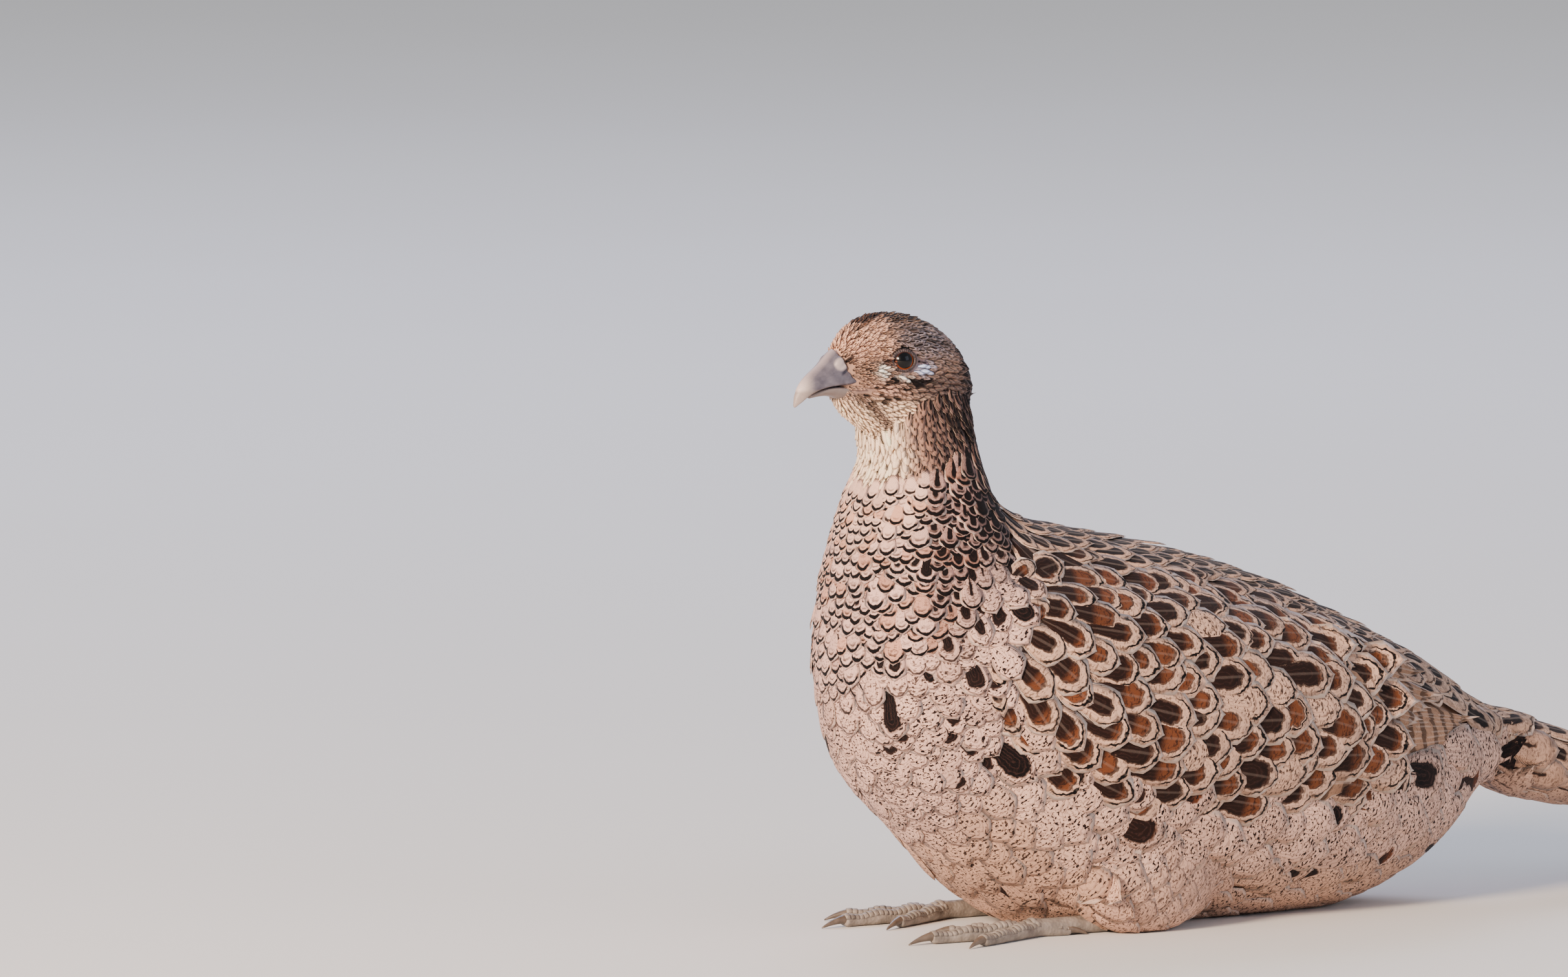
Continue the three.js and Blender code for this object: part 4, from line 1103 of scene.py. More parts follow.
for side_name, side in SIDES.items():
    axis, across, up = eye_axes(side)
    centre = eye_centre(side)
    v, u = np.meshgrid(np.linspace(0.015, math.pi - 0.015, 44), full_turn(48), indexing="ij")
    out_from = EYE["radius"] * np.sin(v)
    bulge = CORNEA_BULGE * np.clip(1 - (out_from / CORNEA_REACH) ** 2, 0, 1) * (np.cos(v) > 0)
    high = EYE["radius"] * np.cos(v) + bulge
    ball = (centre + high[..., None] * axis + (out_from * np.cos(u))[..., None] * across
            + (out_from * np.sin(u))[..., None] * up)
    points, faces = loft(ball)
    eye = mesh_piece("eyeball_" + side_name, set_on_neck(points), faces)
    attach("place", eye, np.stack([out_from.ravel(), u.ravel(), np.cos(v).ravel()], axis=1))
    tidy_normals(eye)
    eyes[side_name] = eye
    # the lids: a ring of beads that closes a little over the ball, almond-shaped
    w, q = np.meshgrid(full_turn(LID_STEPS), full_turn(LID_SIDES), indexing="ij")
    open_x = 3.8 + 0.3 * np.abs(np.cos(w)) ** 3
    open_y = np.where(np.sin(w) > 0, 3.15, 3.4)
    beads = 1 + 0.13 * np.cos(LID_BEADS * w) * (np.cos(q) > -0.3)
    thick = (0.62 + 0.22 * np.clip(np.sin(w), 0, 1)) * beads
    ring_r = thick * np.cos(q)
    stand = 4.05 - 0.05 * np.sin(w) + thick * np.sin(q) * 0.9
    lid_points = (centre + stand[..., None] * axis
                  + ((open_x + ring_r) * np.cos(w))[..., None] * across
                  + ((open_y + ring_r) * np.sin(w))[..., None] * up)
    last = len(lid_points) * LID_SIDES
    faces = [tuple(i % last for i in face) for face in grid_faces(LID_STEPS + 1, LID_SIDES)]
    lid = mesh_piece("eyelids_" + side_name, set_on_neck(lid_points.reshape(-1, 3)), faces)
    tidy_normals(lid)
    lids[side_name] = lid
print("eyes and lids:", sum(len(p.data.polygons) for p in (*eyes.values(), *lids.values())), "faces")

# %% [markdown]
# ## The head's feathers
#
# The face has the smallest feathers of the bird, hair-like tufts of three to five millimetres. They leave
# bare a ring round the eye and the corner of the mouth. Their colours are set by where they grow on the
# head: a dark crown with buff edges, a buff brow and cheek with rows of dots, pale streaks under the eye,
# a plain cream chin, and brown hair-like coverts over the ear.

# %% Place the head's tufts
turns = np.linspace(-math.pi, math.pi, 260, endpoint=False)
p, a = np.meshgrid(np.arange(9.0, 0.3, -0.03), turns, indexing="ij")
head_p = p.ravel() + chance.normal(0, 0.01, p.size)
head_a = a.ravel() + chance.normal(0, 0.01, a.size)


def on_head(places, angles, grow=-SKIN_DEPTH["head"]):
    """Points of the head's skin, in the head's own millimetres."""
    return section_points(HEAD_ROWS, places, angles, HEAD_WIDEST, np.zeros_like(places) + grow)


own = on_head(head_p, head_a)
forward, sideways, up = own[:, 0], np.abs(own[:, 1]), own[:, 2]
small = np.clip((forward - 2) / 20, 0, 1)
head_spacing = 1.75 - 0.5 * small + 0.35 * (up < -9) * (1 - small)
kept = sweep(own, head_spacing)
head_p, head_a, own = head_p[kept], head_a[kept], own[kept]
small, forward, sideways, up = small[kept], forward[kept], sideways[kept], up[kept]
world = set_on_neck(own)
alive = on_skin(world, np.where(up > -5, 5.0, 1.0))


def outside(tree, points, room, far=6.0):
    """Which points, in millimetres, are outside a closed surface by some room, or far from it."""
    answer = []
    for point in points:
        at, normal, _, distance = tree.find_nearest(Vector(point * MM))
        beyond = (Vector(point * MM) - at).dot(normal) > 0
        answer.append(distance > far * MM or beyond and distance > room * MM)
    return np.array(answer)


LID_REACH = 4.5
alive &= outside(bill_tree, world, 0.15)
eye_reach = np.full(len(own), 99.0)
for side in SIDES.values():
    axis, across, eye_up = eye_axes(side)
    away = own - eye_centre(side)
    x, y, z = away @ across, away @ eye_up, away @ axis
    eye_reach = np.where(z > 0, np.minimum(eye_reach, np.hypot(x / 1.12, y)), eye_reach)
alive &= eye_reach > LID_REACH
gape = (np.abs(up + 4.6 - (30 - forward) * 0.12) < 1.0) & (forward > 26) & (sideways > 5.5)
alive &= ~gape
head_p, head_a, own = head_p[alive], head_a[alive], own[alive]
# the brow stands out from the head's plain form, so each root moves to the skin itself
world = np.array([skin_tree.find_nearest(Vector(point * MM))[0] for point in world[alive]]) / MM
small, forward, sideways, up = small[alive], forward[alive], sideways[alive], up[alive]
print("head tufts:", len(own))

# %% Colour the head's tufts
# a tuft shows behind its root, so its colour is chosen for the place where most of it shows
tuft_length = 4.6 - 1.7 * small
shown = forward - 0.72 * tuft_length


def near(x, z, reach_x, reach_z):
    """How close each tuft shows to a place on the side of the head, from 0 to 1."""
    return np.exp(-(((shown - x) / reach_x) ** 2) - ((up - z) / reach_z) ** 2)


def blend_marks(marks, target, share):
    """Moves each feather's numbers towards a target's by its own share."""
    ground, heart, *rest = target
    goal = np.array([*linear(ground)[:3], *linear(heart)[:3], *rest], float)
    share = np.clip(share, 0, 1)[:, None]
    return marks * (1 - share) + goal * share


lateral = sideways > 4
luck = chance.random(len(own))
head_marks = flat_marks(("#B48A74", "#5E4034", 0.34, 0.8, 0.1, 0.2, 0, 0.1, 0.4), len(own))
# painted shade: a darker line runs down and back from the corner of the mouth along the jaw, where the chin's
# bulge shades the cheek
along_jaw = np.clip((29 - shown) / 15, 0, 1)
off_jaw = np.abs(up - (-6.0 - 13.0 * along_jaw))
jaw_shade = np.exp(-((off_jaw / 1.9) ** 2)) * (shown > 13) * (shown < 30)
head_zones = [
    # side of the crown, grey-buff with fine dark streaks
    (("#A5969B", "#2E2224", 0.42, 0.8, 0.0, 0.2, 0, 0, 0.6), 1.1 * near(5, 11, 13, 6.5)),
    # crown, dark brown with buff edges
    (("#9C7A66", "#160C0B", 0.56, 0.8, 0.3, 0.1, 0, 0, 0.8),
     step(up - 15 - sideways * 0.25, 2.0) * step(22 - shown, 3)),
    # forehead, warm orange-buff
    (("#FFC6A6", "#C08460", 0.22, 0.8, 0.0, 0.1, 0, 0, 0.5),
     0.95 * step(shown - 17, 3) * step(up - 4, 3)),
    (("#7A5340", "#22120D", 0.55, 0.8, 0.0, 0.1, 0, 0, 0.3),
     step(shown - 15, 3) * step(27 - shown, 2) * step(3.4 - sideways, 1.0) * (up > 8)),
    # lore, between the bill and the eye
    (("#C29478", "#3E2A22", 0.4, 0.8, 0.0, 0.3, 0, 0, 0.4), near(25, 2, 5, 5)),
    # cheek, buff with rows of dark dots
    (("#CFA08A", "#33231C", 0.0, 0.8, 0.0, 0.1, 0, 0, 0.4), near(20, -5, 8, 4.5)),
    # ear coverts, brown and hair-like, and darker behind
    (("#6A5049", "#3C2A26", 0.3, 0.8, 0.0, 0.2, 0, 0.1, 0.2), 1.25 * near(-1, -7, 11, 9)),
    # chin and throat, plain cream
    (("#FFDCBA", "#F6D2AE", 0.0, 0.8, 0.0, 0.0, 0, 0, 0.2),
     step(-9 - up + 0.10 * (shown - 10), 2.5) * step(shown - 1, 6)),
    # back of the head
    (("#7C645F", "#1C1113", 0.5, 0.76, 0.6, 0.2, 0, 0, 0.5), step(-9 - shown, 3) * step(up + 18, 4)),
    # painted shade in the hollow behind the nostril's flap
    (("#4A3730", "#2A1E1A", 0.3, 0.8, 0.0, 0.1, 0, 0, 0.2), 1.2 * near(32.4, 4.4, 1.5, 2.4)),
    # painted shade along the jaw, below the cheek
    (("#8A6E60", "#5E483E", 0.3, 0.8, 0.0, 0.1, 0, 0, 0.2), 0.95 * jaw_shade),
    # pale streaks under and before the eye, and a bluish-white patch behind it
    (("#FFF6EA", "#F2E8DA", 0.0, 0.8, 0.0, 0.0, 0, 0, 0.2), 2.0 * near(22.4, 2.2, 1.7, 2.0) * lateral),
    (("#FFF6EA", "#F2E8DA", 0.0, 0.8, 0.0, 0.0, 0, 0, 0.2), 2.0 * near(14.8, -0.4, 1.8, 1.0) * lateral),
    (("#CDD8FA", "#BCC8EC", 0.0, 0.8, 0.0, 0.0, 0, 0, 0.0), 3.0 * near(7.6, 2.5, 2.3, 1.7) * lateral),
    # blackish patch below and behind the eye, dark red at its corners
    (("#1E1212", "#0E0808", 0.5, 0.8, 0.0, 0.0, 0, 0, 0.1), 2.2 * near(9.0, -2.3, 4.2, 1.3) * lateral),
    (("#1E1212", "#0E0808", 0.5, 0.8, 0.0, 0.0, 0, 0, 0.1), 1.5 * near(18.6, -1.0, 1.6, 1.6) * lateral),
    (("#5A322C", "#3A1714", 0.5, 0.8, 0.0, 0.0, 0, 0, 0.1), 1.3 * near(21, 4.6, 2.2, 1.1) * lateral),
    (("#6A2D26", "#4A1A16", 0.5, 0.8, 0.0, 0.0, 0, 0, 0.1), 1.6 * near(8.6, 5.2, 1.8, 0.9) * lateral),
]
for target, share in head_zones:
    head_marks = blend_marks(head_marks, target, share)
# rows of dots on the cheek: every second or third tuft there is dark
rows_of_dots = (np.sin(shown * 1.9 + up * 0.9) > 0) & (near(20, -5, 9, 4) > 0.45)
rows_of_dots &= (luck < 0.6) & lateral
dark_dot = blend_marks(head_marks, ("#4B3428", "#1E130F", 0.6, 0.8, 0, 0, 0, 0, 0.2),
                       np.full(len(own), 0.85))
head_marks[rows_of_dots] = dark_dot[rows_of_dots]
mottled = (luck > 0.7) & ((up > 8) & (shown < 22) | (up > 12))
head_marks[mottled, :HEART_SIZE] *= 0.5

# %% Lay the head's tufts
lie, out = surface_frame(lambda q, b: set_on_neck(on_head(q, b)), head_p, head_a)
if np.mean(np.sum(out * (world - HEAD_AT), axis=1)) < 0:
    out = -out
length = tuft_length * (1 + chance.normal(0, 0.1, len(own))) * np.where(up > 12, 1.15, 1.0)
length[(forward < -6) & (up < 4)] *= 1.5  # the nape's are longer
depth = np.full(len(own), 1.15) * (1 + chance.normal(0, 0.15, len(own)))
uv = np.stack([0.02 + 0.6 * (head_a + math.pi) / (2 * math.pi), 0.55 + 0.05 * head_p / 9], axis=1)
lay_coat("coat_head", world, out, lie, np.stack([length, length * 0.42, depth], axis=1), head_marks,
         "tuft", uv, ruffle=0.3, thickness=0.00016, free=(0.002, 0.005))

# %% Lay the throat's fine feathers
# the top of the neck has the same ones: cream in front, buff at the side, dark and mottled behind
THROAT_SPACING = 1.75
turns = np.linspace(-math.pi, math.pi, 150, endpoint=False)
p, a = np.meshgrid(np.arange(14.0, 10.95, -0.025), turns, indexing="ij")
neck_p = p.ravel() + chance.normal(0, 0.01, p.size)
neck_a = a.ravel() + chance.normal(0, 0.012, a.size)
neck_at = on_body(neck_p, neck_a, -coat_depth(neck_p))
kept = sweep(neck_at, np.full(len(neck_at), THROAT_SPACING))
neck_p, neck_a, neck_at = neck_p[kept], neck_a[kept], neck_at[kept]
alive = on_skin(neck_at, 1.2)
neck_p, neck_a, neck_at = neck_p[alive], neck_a[alive], neck_at[alive]
turned = np.abs(np.degrees(neck_a))
luck = chance.random(len(neck_p))
neck_marks = flat_marks(("#A67C6A", "#7A5A4A", 0.3, 0.8, 0.0, 0.1, 0, 0.0, 0.4), len(neck_p))
throat_zones = [
    (("#FFE2C4", "#F6D6B4", 0.0, 0.8, 0, 0, 0, 0, 0.2), step(turned - 128, 20)),
    (("#6C534C", "#1C1112", 0.35, 0.8, 0.3, 0.1, 0, 0, 0.3), step(102 - turned, 18)),
    (("#5E4A48", "#150C0E", 0.45, 0.8, 0.3, 0.1, 0, 0, 0.3), step(62 - turned, 16)),
]
for target, share in throat_zones:
    neck_marks = blend_marks(neck_marks, target, share)
dark = (luck < 0.4) & (turned < 84)
neck_marks[dark, GROUND] *= 0.25
neck_lie, neck_out = surface_frame(on_body, neck_p, neck_a)
neck_sizes = np.stack([7.0 * (1 + chance.normal(0, 0.1, len(neck_p))), np.full(len(neck_p), 2.6),
                       1.8 + chance.normal(0, 0.2, len(neck_p))], axis=1)
lay_coat("coat_throat", neck_at, neck_out, neck_lie, neck_sizes, neck_marks, "tuft",
         body_uv(neck_p, neck_a), ruffle=0.22, thickness=0.0002,
         free=(0.003, 0.006))

# %% [markdown]
# ## Skin, horn, eye and lid materials
#
# The skin shows only between feathers and round the eye, where it is bare, pinkish grey and finely
# wrinkled. Elsewhere it takes the colour of the nearest feathers' roots, as down does, a little darker.

# %% Paint the skin
DOWN_SHADE = 0.75
BARE_SKIN = "#8E6F66"
LID_STANDS_OUT = 3.2
root_tree = KDTree(len(root_at) + len(world) + len(neck_at))
for i, point in enumerate(np.concatenate([root_at, world, neck_at])):
    root_tree.insert(Vector(point * MM), i)
root_tree.balance()
ROOT_SIZES = 3  # spacing, length and width stand before the markings here
root_colour = np.concatenate([body_marks[:, ROOT_SIZES:][:, GROUND], head_marks[:, GROUND],
                              neck_marks[:, GROUND]])
skin_points = points_of(skin)
own = head_own(skin_points)
near_eye = np.full(len(own), 99.0)
for side in SIDES.values():
    away = own - eye_centre(side) + [0, side * LID_STANDS_OUT, 0]
    near_eye = np.minimum(near_eye, np.linalg.norm(away * [0.85, 1, 1], axis=1))
near_gape = np.linalg.norm((own - [30, 0, -4.6]) * [0.28, 0, 0.9], axis=1)
bare = np.clip(1.4 - near_gape, 0, 1) * (np.abs(own[:, 1]) > 3) * (own[:, 0] > 24)
bare = np.clip(bare + np.clip(1.6 - near_eye / 4.6, 0, 1), 0, 1)
skin_colour = np.ones((len(skin_points), 4))
for i, point in enumerate(skin_points):
    found = [item[1] for item in root_tree.find_n(Vector(point * MM), 3)]
    skin_colour[i, :3] = root_colour[found].mean(axis=0) * DOWN_SHADE
skin_colour[:, :3] += (np.array(linear(BARE_SKIN)[:3]) - skin_colour[:, :3]) * bare[:, None]
attach("down", skin, skin_colour, "FLOAT_COLOR")

skin_material, tree = new_material("bird_skin_with_down")
down = add(tree, "ShaderNodeAttribute", attribute_name="down").outputs["Color"]
place = add(tree, "ShaderNodeTexCoord").outputs["Object"]
wrinkle = add(tree, "ShaderNodeTexNoise", {"Vector": place, "Scale": 900.0, "Detail": 4.0})
patchy = add(tree, "ShaderNodeMapRange", {"Value": wrinkle.outputs["Fac"], "To Min": 0.7, "To Max": 1.25})
mottle = add(tree, "ShaderNodeMix", {"Factor": 1.0, 6: down, 7: patchy},
             data_type="RGBA", blend_type="MULTIPLY")
relief = add(tree, "ShaderNodeBump",
             {"Height": wrinkle.outputs["Fac"], "Strength": 0.4, "Distance": 0.0003})
shader = add(tree, "ShaderNodeBsdfPrincipled",
             {"Base Color": mottle.outputs[2], "Normal": relief, "Roughness": 0.7})
add(tree, "ShaderNodeOutputMaterial", {"Surface": shader})
skin.data.materials.clear()
skin.data.materials.append(skin_material)
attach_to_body(skin, "root")
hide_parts("torso", "neck", "head", "leg_left", "leg_right")

# %% Paint the horn of the bill
horn_material, tree = new_material("horn_bill_keratin")
place = add(tree, "ShaderNodeAttribute", attribute_name="place").outputs["Vector"]
spot = add(tree, "ShaderNodeSeparateXYZ", {0: place})
cloudy = add(tree, "ShaderNodeTexNoise", {"Vector": place, "Scale": 0.35, "Detail": 3.0})
fibres = add(tree, "ShaderNodeVectorMath", {0: place, 1: (0.5, 2.2, 2.2)}, operation="MULTIPLY")
grain = add(tree, "ShaderNodeTexNoise", {"Vector": fibres, "Scale": 1.3, "Detail": 4.0})
near_middle = add(tree, "ShaderNodeMath", {0: spot.outputs["Y"]}, operation="ABSOLUTE")
mirrored = add(tree, "ShaderNodeCombineXYZ",
               {"X": spot.outputs["X"], "Y": near_middle, "Z": spot.outputs["Z"]})
# each layer of colour: where it is, by which limits it sets in, and its paint
tip = add(tree, "ShaderNodeMapRange",
          {"Value": spot.outputs["X"], "From Min": 45.5, "From Max": 52.0, "To Max": 0.9},
          interpolation_type="SMOOTHSTEP")
# a painted highlight: the horn is painted paler along the ridge of the culmen
ridge_highlight = add(tree, "ShaderNodeMapRange",
             {"Value": near_middle, "From Min": 0.5, "From Max": 2.8, "To Min": 0.6, "To Max": 0.0})
lower_part = add(tree, "ShaderNodeMapRange",
                 {"Value": spot.outputs["Z"], "From Min": -3.4, "From Max": -4.6, "To Max": 0.7})
layers = [(tip, "#F2DCCF"), (ridge_highlight, "#C4B0B0"), (lower_part, "#85766E")]
# the flap over the nostril is paler, and painted shade darkens the hollow behind it
for centre, reach, paint in (((36.6, 5.4, 4.6), 2.8, "#B4A4A2"), ((33.4, 6.0, 3.2), 1.5, "#1C1516")):
    away = add(tree, "ShaderNodeVectorMath", {0: mirrored, 1: centre}, operation="DISTANCE")
    patch = add(tree, "ShaderNodeMapRange",
                {"Value": away.outputs["Value"], "From Min": reach, "From Max": reach * 0.55,
                 "To Max": 0.9}, interpolation_type="SMOOTHSTEP")
    layers.append((patch, paint))
ramp = add(tree, "ShaderNodeValToRGB", {"Fac": cloudy.outputs["Fac"]})
ramp.color_ramp.elements[0].position, ramp.color_ramp.elements[1].position = 0.3, 0.72
ramp.color_ramp.elements[0].color = linear("#4C4853")
ramp.color_ramp.elements[1].color = linear("#6C6670")
colour = ramp.outputs[0]
for where, paint in layers:
    painted = add(tree, "ShaderNodeMix", {"Factor": where, 6: colour, 7: linear(paint)}, data_type="RGBA")
    colour = painted.outputs[2]
darker = add(tree, "ShaderNodeMapRange", {"Value": grain.outputs["Fac"], "To Min": 0.82, "To Max": 1.12})
shade = add(tree, "ShaderNodeMix", {"Factor": 1.0, 6: colour, 7: darker},
            data_type="RGBA", blend_type="MULTIPLY")
relief = add(tree, "ShaderNodeBump",
             {"Height": grain.outputs["Fac"], "Strength": 0.35, "Distance": 0.00025})
shader = add(tree, "ShaderNodeBsdfPrincipled", {
    "Base Color": shade.outputs[2], "Normal": relief, "Roughness": 0.42, "Specular IOR Level": 0.45})
add(tree, "ShaderNodeOutputMaterial", {"Surface": shader})
for piece, node in ((upper, "bill_upper"), (lower, "bill_lower")):
    piece.data.materials.append(horn_material)
    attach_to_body(piece, "root")
    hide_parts(node)

# %% Paint the eyes and lids
IRIS_SCALE = 4.0  # the distance from the axis where the ramp ends
eye_material, tree = new_material("eye_wet_cornea_over_iris")
place = add(tree, "ShaderNodeAttribute", attribute_name="place").outputs["Vector"]
spot = add(tree, "ShaderNodeSeparateXYZ", {0: place})
turns = add(tree, "ShaderNodeMath", {0: spot.outputs["Y"], 1: 9.0}, operation="MULTIPLY")
rays = add(tree, "ShaderNodeCombineXYZ", {"X": turns, "Y": spot.outputs["X"], "Z": 0.0})
spokes = add(tree, "ShaderNodeTexNoise", {"Vector": rays, "Scale": 1.4, "Detail": 3.0})
from_axis = add(tree, "ShaderNodeMapRange", {"Value": spot.outputs["X"], "From Max": IRIS_SCALE})
ramp = add(tree, "ShaderNodeValToRGB", {"Fac": from_axis})
stops = [(0.0, "#040303"), (PUPIL / IRIS_SCALE - 0.01, "#040303"),
         (PUPIL / IRIS_SCALE + 0.02, "#3A160A"), (0.72, "#A2450F"),
         (0.80, "#5A260C"), (0.86, "#080505"), (1.0, "#0C0908")]
for _ in range(len(stops) - 2):
    ramp.color_ramp.elements.new(0.5)
for element, (position, colour) in zip(ramp.color_ramp.elements, stops):
    element.position = position
    element.color = linear(colour)
shade = add(tree, "ShaderNodeMapRange",
            {"Value": spokes.outputs["Fac"], "From Min": 0.3, "From Max": 0.7,
             "To Min": 0.7, "To Max": 1.25})
# painted light and shade: the iris is painted brighter low in the eye, where light through the cornea falls
# on it, and darker at the top, in the shadow of the brow
turned_up = add(tree, "ShaderNodeMath", {0: spot.outputs["Y"], 1: 0.785}, operation="ADD")
upward = add(tree, "ShaderNodeMath", {0: turned_up}, operation="SINE")
painted_light_and_shade = add(tree, "ShaderNodeMapRange",
           {"Value": upward, "From Min": 0.5, "From Max": -0.9, "To Min": 0.12, "To Max": 1.2})
shade = add(tree, "ShaderNodeMath", {0: shade, 1: painted_light_and_shade}, operation="MULTIPLY")
iris = add(tree, "ShaderNodeMix", {"Factor": 1.0, 6: ramp.outputs[0], 7: shade},
           data_type="RGBA", blend_type="MULTIPLY")
CORNEA_IOR = 1.376
shader = add(tree, "ShaderNodeBsdfPrincipled", {
    "Base Color": iris.outputs[2], "Roughness": 0.25, "IOR": CORNEA_IOR, "Specular IOR Level": 0.15,
    "Coat Weight": 0.45, "Coat Roughness": 0.02})
add(tree, "ShaderNodeOutputMaterial", {"Surface": shader})

lid_material, tree = new_material("eyelid_bare_skin")
place = add(tree, "ShaderNodeTexCoord").outputs["Object"]
pores = add(tree, "ShaderNodeTexNoise", {"Vector": place, "Scale": 1600.0, "Detail": 3.0})
ramp = add(tree, "ShaderNodeValToRGB", {"Fac": pores.outputs["Fac"]})
ramp.color_ramp.elements[0].position, ramp.color_ramp.elements[1].position = 0.35, 0.7
ramp.color_ramp.elements[0].color = linear("#1C1415")
ramp.color_ramp.elements[1].color = linear("#4E3E3D")
relief = add(tree, "ShaderNodeBump", {"Height": pores.outputs["Fac"], "Strength": 0.3, "Distance": 0.0002})
shader = add(tree, "ShaderNodeBsdfPrincipled",
             {"Base Color": ramp.outputs[0], "Normal": relief, "Roughness": 0.55})
add(tree, "ShaderNodeOutputMaterial", {"Surface": shader})
for side_name in SIDES:
    eyes[side_name].data.materials.append(eye_material)
    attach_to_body(eyes[side_name], "root")
    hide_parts("eye_" + side_name)
    lids[side_name].data.materials.append(lid_material)
    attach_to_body(lids[side_name], "root")

# %% [markdown]
# ## The feet
#
# Under a crouching bird only the toes show. Each is a string of pads with a row of overlapping plates,
# the scutes, along its top, and ends in a blunt curved claw. Toe and shank are lofted and melted, and the
# scutes are set along each toe by a second Geometry Nodes tree, largest at the root.

# %% Model the toes and claws
FOOT = {"x": -76, "side": 29, "shank": 28, "radius": 3.1, "sunk": 0.3}
FOOT_VOXEL = 0.75
SCUTE_SPACING, SCUTE_LONG = 1.9, 2.0
# each toe: which way it points in degrees, its length, its claw's length, half its thickness
TOES = ((-27, 30, 9, 3), (-2, 41, 10, 3.2), (24, 33, 9, 3), (168, 12, 7, 2.4))


def toe_rings(side, degrees, length, claw, thick, horn):
    """The rings of a toe or of its claw, and what the scutes need to sit on it."""
    heading = math.radians(180 - side * degrees)
    along = np.array([math.cos(heading), math.sin(heading), 0])
    across = np.array([-math.sin(heading), math.cos(heading), 0])
    u = np.linspace(0.0, 1.0, 12 if horn else 30)
    if horn:
        distance = length + claw * (1.05 * u - 0.18)
        radius = 0.48 * thick * (1 - u) ** 0.8 + 0.22
        height = 0.75 * thick * (1 - u**2) + 0.35
    else:
        distance = length * u
        radius = thick * (1 - 0.34 * u) * (1 + 0.1 * np.cos(2 * math.pi * 3 * u)) * 0.95
        height = radius / 0.95 - FOOT["sunk"]
    d, t = np.meshgrid(np.arange(len(u)), full_turn(20), indexing="ij")
    base = np.array([FOOT["x"], side * FOOT["side"], 0])
    points = (base + distance[d][..., None] * along + (radius[d] * np.cos(t))[..., None] * across
              + (height[d] + radius[d] * np.sin(t))[..., None] * np.array([0, 0, 1.0]))
    points[..., 2] = np.maximum(points[..., 2], 0.05)
    return points, along, distance, radius, height


scute_tree = bpy.data.node_groups.new("Scutes along a toe", "GeometryNodeTree")
for name, kind in [("Geometry", "NodeSocketGeometry"), ("Scute", "NodeSocketObject"),
                   ("Material", "NodeSocketMaterial")]:
    scute_tree.interface.new_socket(name, in_out="INPUT", socket_type=kind)
scute_tree.interface.new_socket("Geometry", in_out="OUTPUT", socket_type="NodeSocketGeometry")
given = scute_tree.nodes.new("NodeGroupInput").outputs
stored = {name: add(scute_tree, "GeometryNodeInputNamedAttribute", {"Name": name}, data_type="FLOAT_VECTOR")
          for name in ("lie", "size")}
aim = add(scute_tree, "FunctionNodeAxesToRotation",
          {"Primary Axis": (0, 0, 1), "Secondary Axis": stored["lie"]},
          primary_axis="Z", secondary_axis="Y")
plate = add(scute_tree, "GeometryNodeObjectInfo", {"Object": given["Scute"]}).outputs["Geometry"]
plates = add(scute_tree, "GeometryNodeInstanceOnPoints",
             {"Points": given["Geometry"], "Instance": plate, "Rotation": aim, "Scale": stored["size"]})
plates = add(scute_tree, "GeometryNodeRealizeInstances", {"Geometry": plates})
plates = add(scute_tree, "GeometryNodeSetShadeSmooth", {0: plates})
plates = add(scute_tree, "GeometryNodeSetMaterial", {"Geometry": plates, "Material": given["Material"]})
add(scute_tree, "NodeGroupOutput", {"Geometry": plates})
SCUTE_INPUTS = {item.name: item.identifier for item in scute_tree.interface.items_tree
                if item.in_out == "INPUT"}
print("scute tree:", len(scute_tree.nodes), "nodes")

# %% Model one scute
# one scute: a bent plate over the top half of a toe of radius one, one long
v, a = np.meshgrid(np.linspace(-0.5, 0.5, 4), np.linspace(-1.15, 1.15, 7), indexing="ij")
lifted = 1.0 + 0.10 + 0.09 * np.cos(v * math.pi) - 0.12 * np.abs(a / 1.15) ** 4
outer = np.stack([np.sin(a) * lifted, v, np.cos(a) * lifted], axis=-1)
inner = np.stack([np.sin(a) * 0.9, v, np.cos(a) * 0.9], axis=-1)
points, faces = loft(np.concatenate([outer, inner[:, ::-1]], axis=1))
scute = mesh_piece("scute", points / MM, faces)
tidy_normals(scute)
print("one scute:", len(faces), "faces")

# %% Make the skin of the feet and the horn of the claws
foot_material, tree = new_material("scaled_leg_skin")
place = add(tree, "ShaderNodeTexCoord").outputs["Object"]
mottle = add(tree, "ShaderNodeTexNoise", {"Vector": place, "Scale": 260.0, "Detail": 4.0})
pebbles = add(tree, "ShaderNodeTexVoronoi", {"Vector": place, "Scale": 900.0})
ramp = add(tree, "ShaderNodeValToRGB", {"Fac": mottle.outputs["Fac"]})
ramp.color_ramp.elements[0].position, ramp.color_ramp.elements[1].position = 0.3, 0.75
ramp.color_ramp.elements[0].color = linear("#6E655D")
ramp.color_ramp.elements[1].color = linear("#A0948A")
relief = add(tree, "ShaderNodeBump",
             {"Height": pebbles.outputs["Distance"], "Strength": 0.4, "Distance": 0.0004})
shader = add(tree, "ShaderNodeBsdfPrincipled",
             {"Base Color": ramp.outputs[0], "Normal": relief, "Roughness": 0.55})
add(tree, "ShaderNodeOutputMaterial", {"Surface": shader})
claw_material, tree = new_material("claw_horn")
place = add(tree, "ShaderNodeTexCoord").outputs["Object"]
streaks = add(tree, "ShaderNodeTexNoise", {"Vector": place, "Scale": 500.0})
ramp = add(tree, "ShaderNodeValToRGB", {"Fac": streaks.outputs["Fac"]})
ramp.color_ramp.elements[0].color = linear("#3B322C")
ramp.color_ramp.elements[1].color = linear("#7A6A5C")
shader = add(tree, "ShaderNodeBsdfPrincipled", {"Base Color": ramp.outputs[0], "Roughness": 0.35})
add(tree, "ShaderNodeOutputMaterial", {"Surface": shader})
print("foot materials:", foot_material.name, claw_material.name)

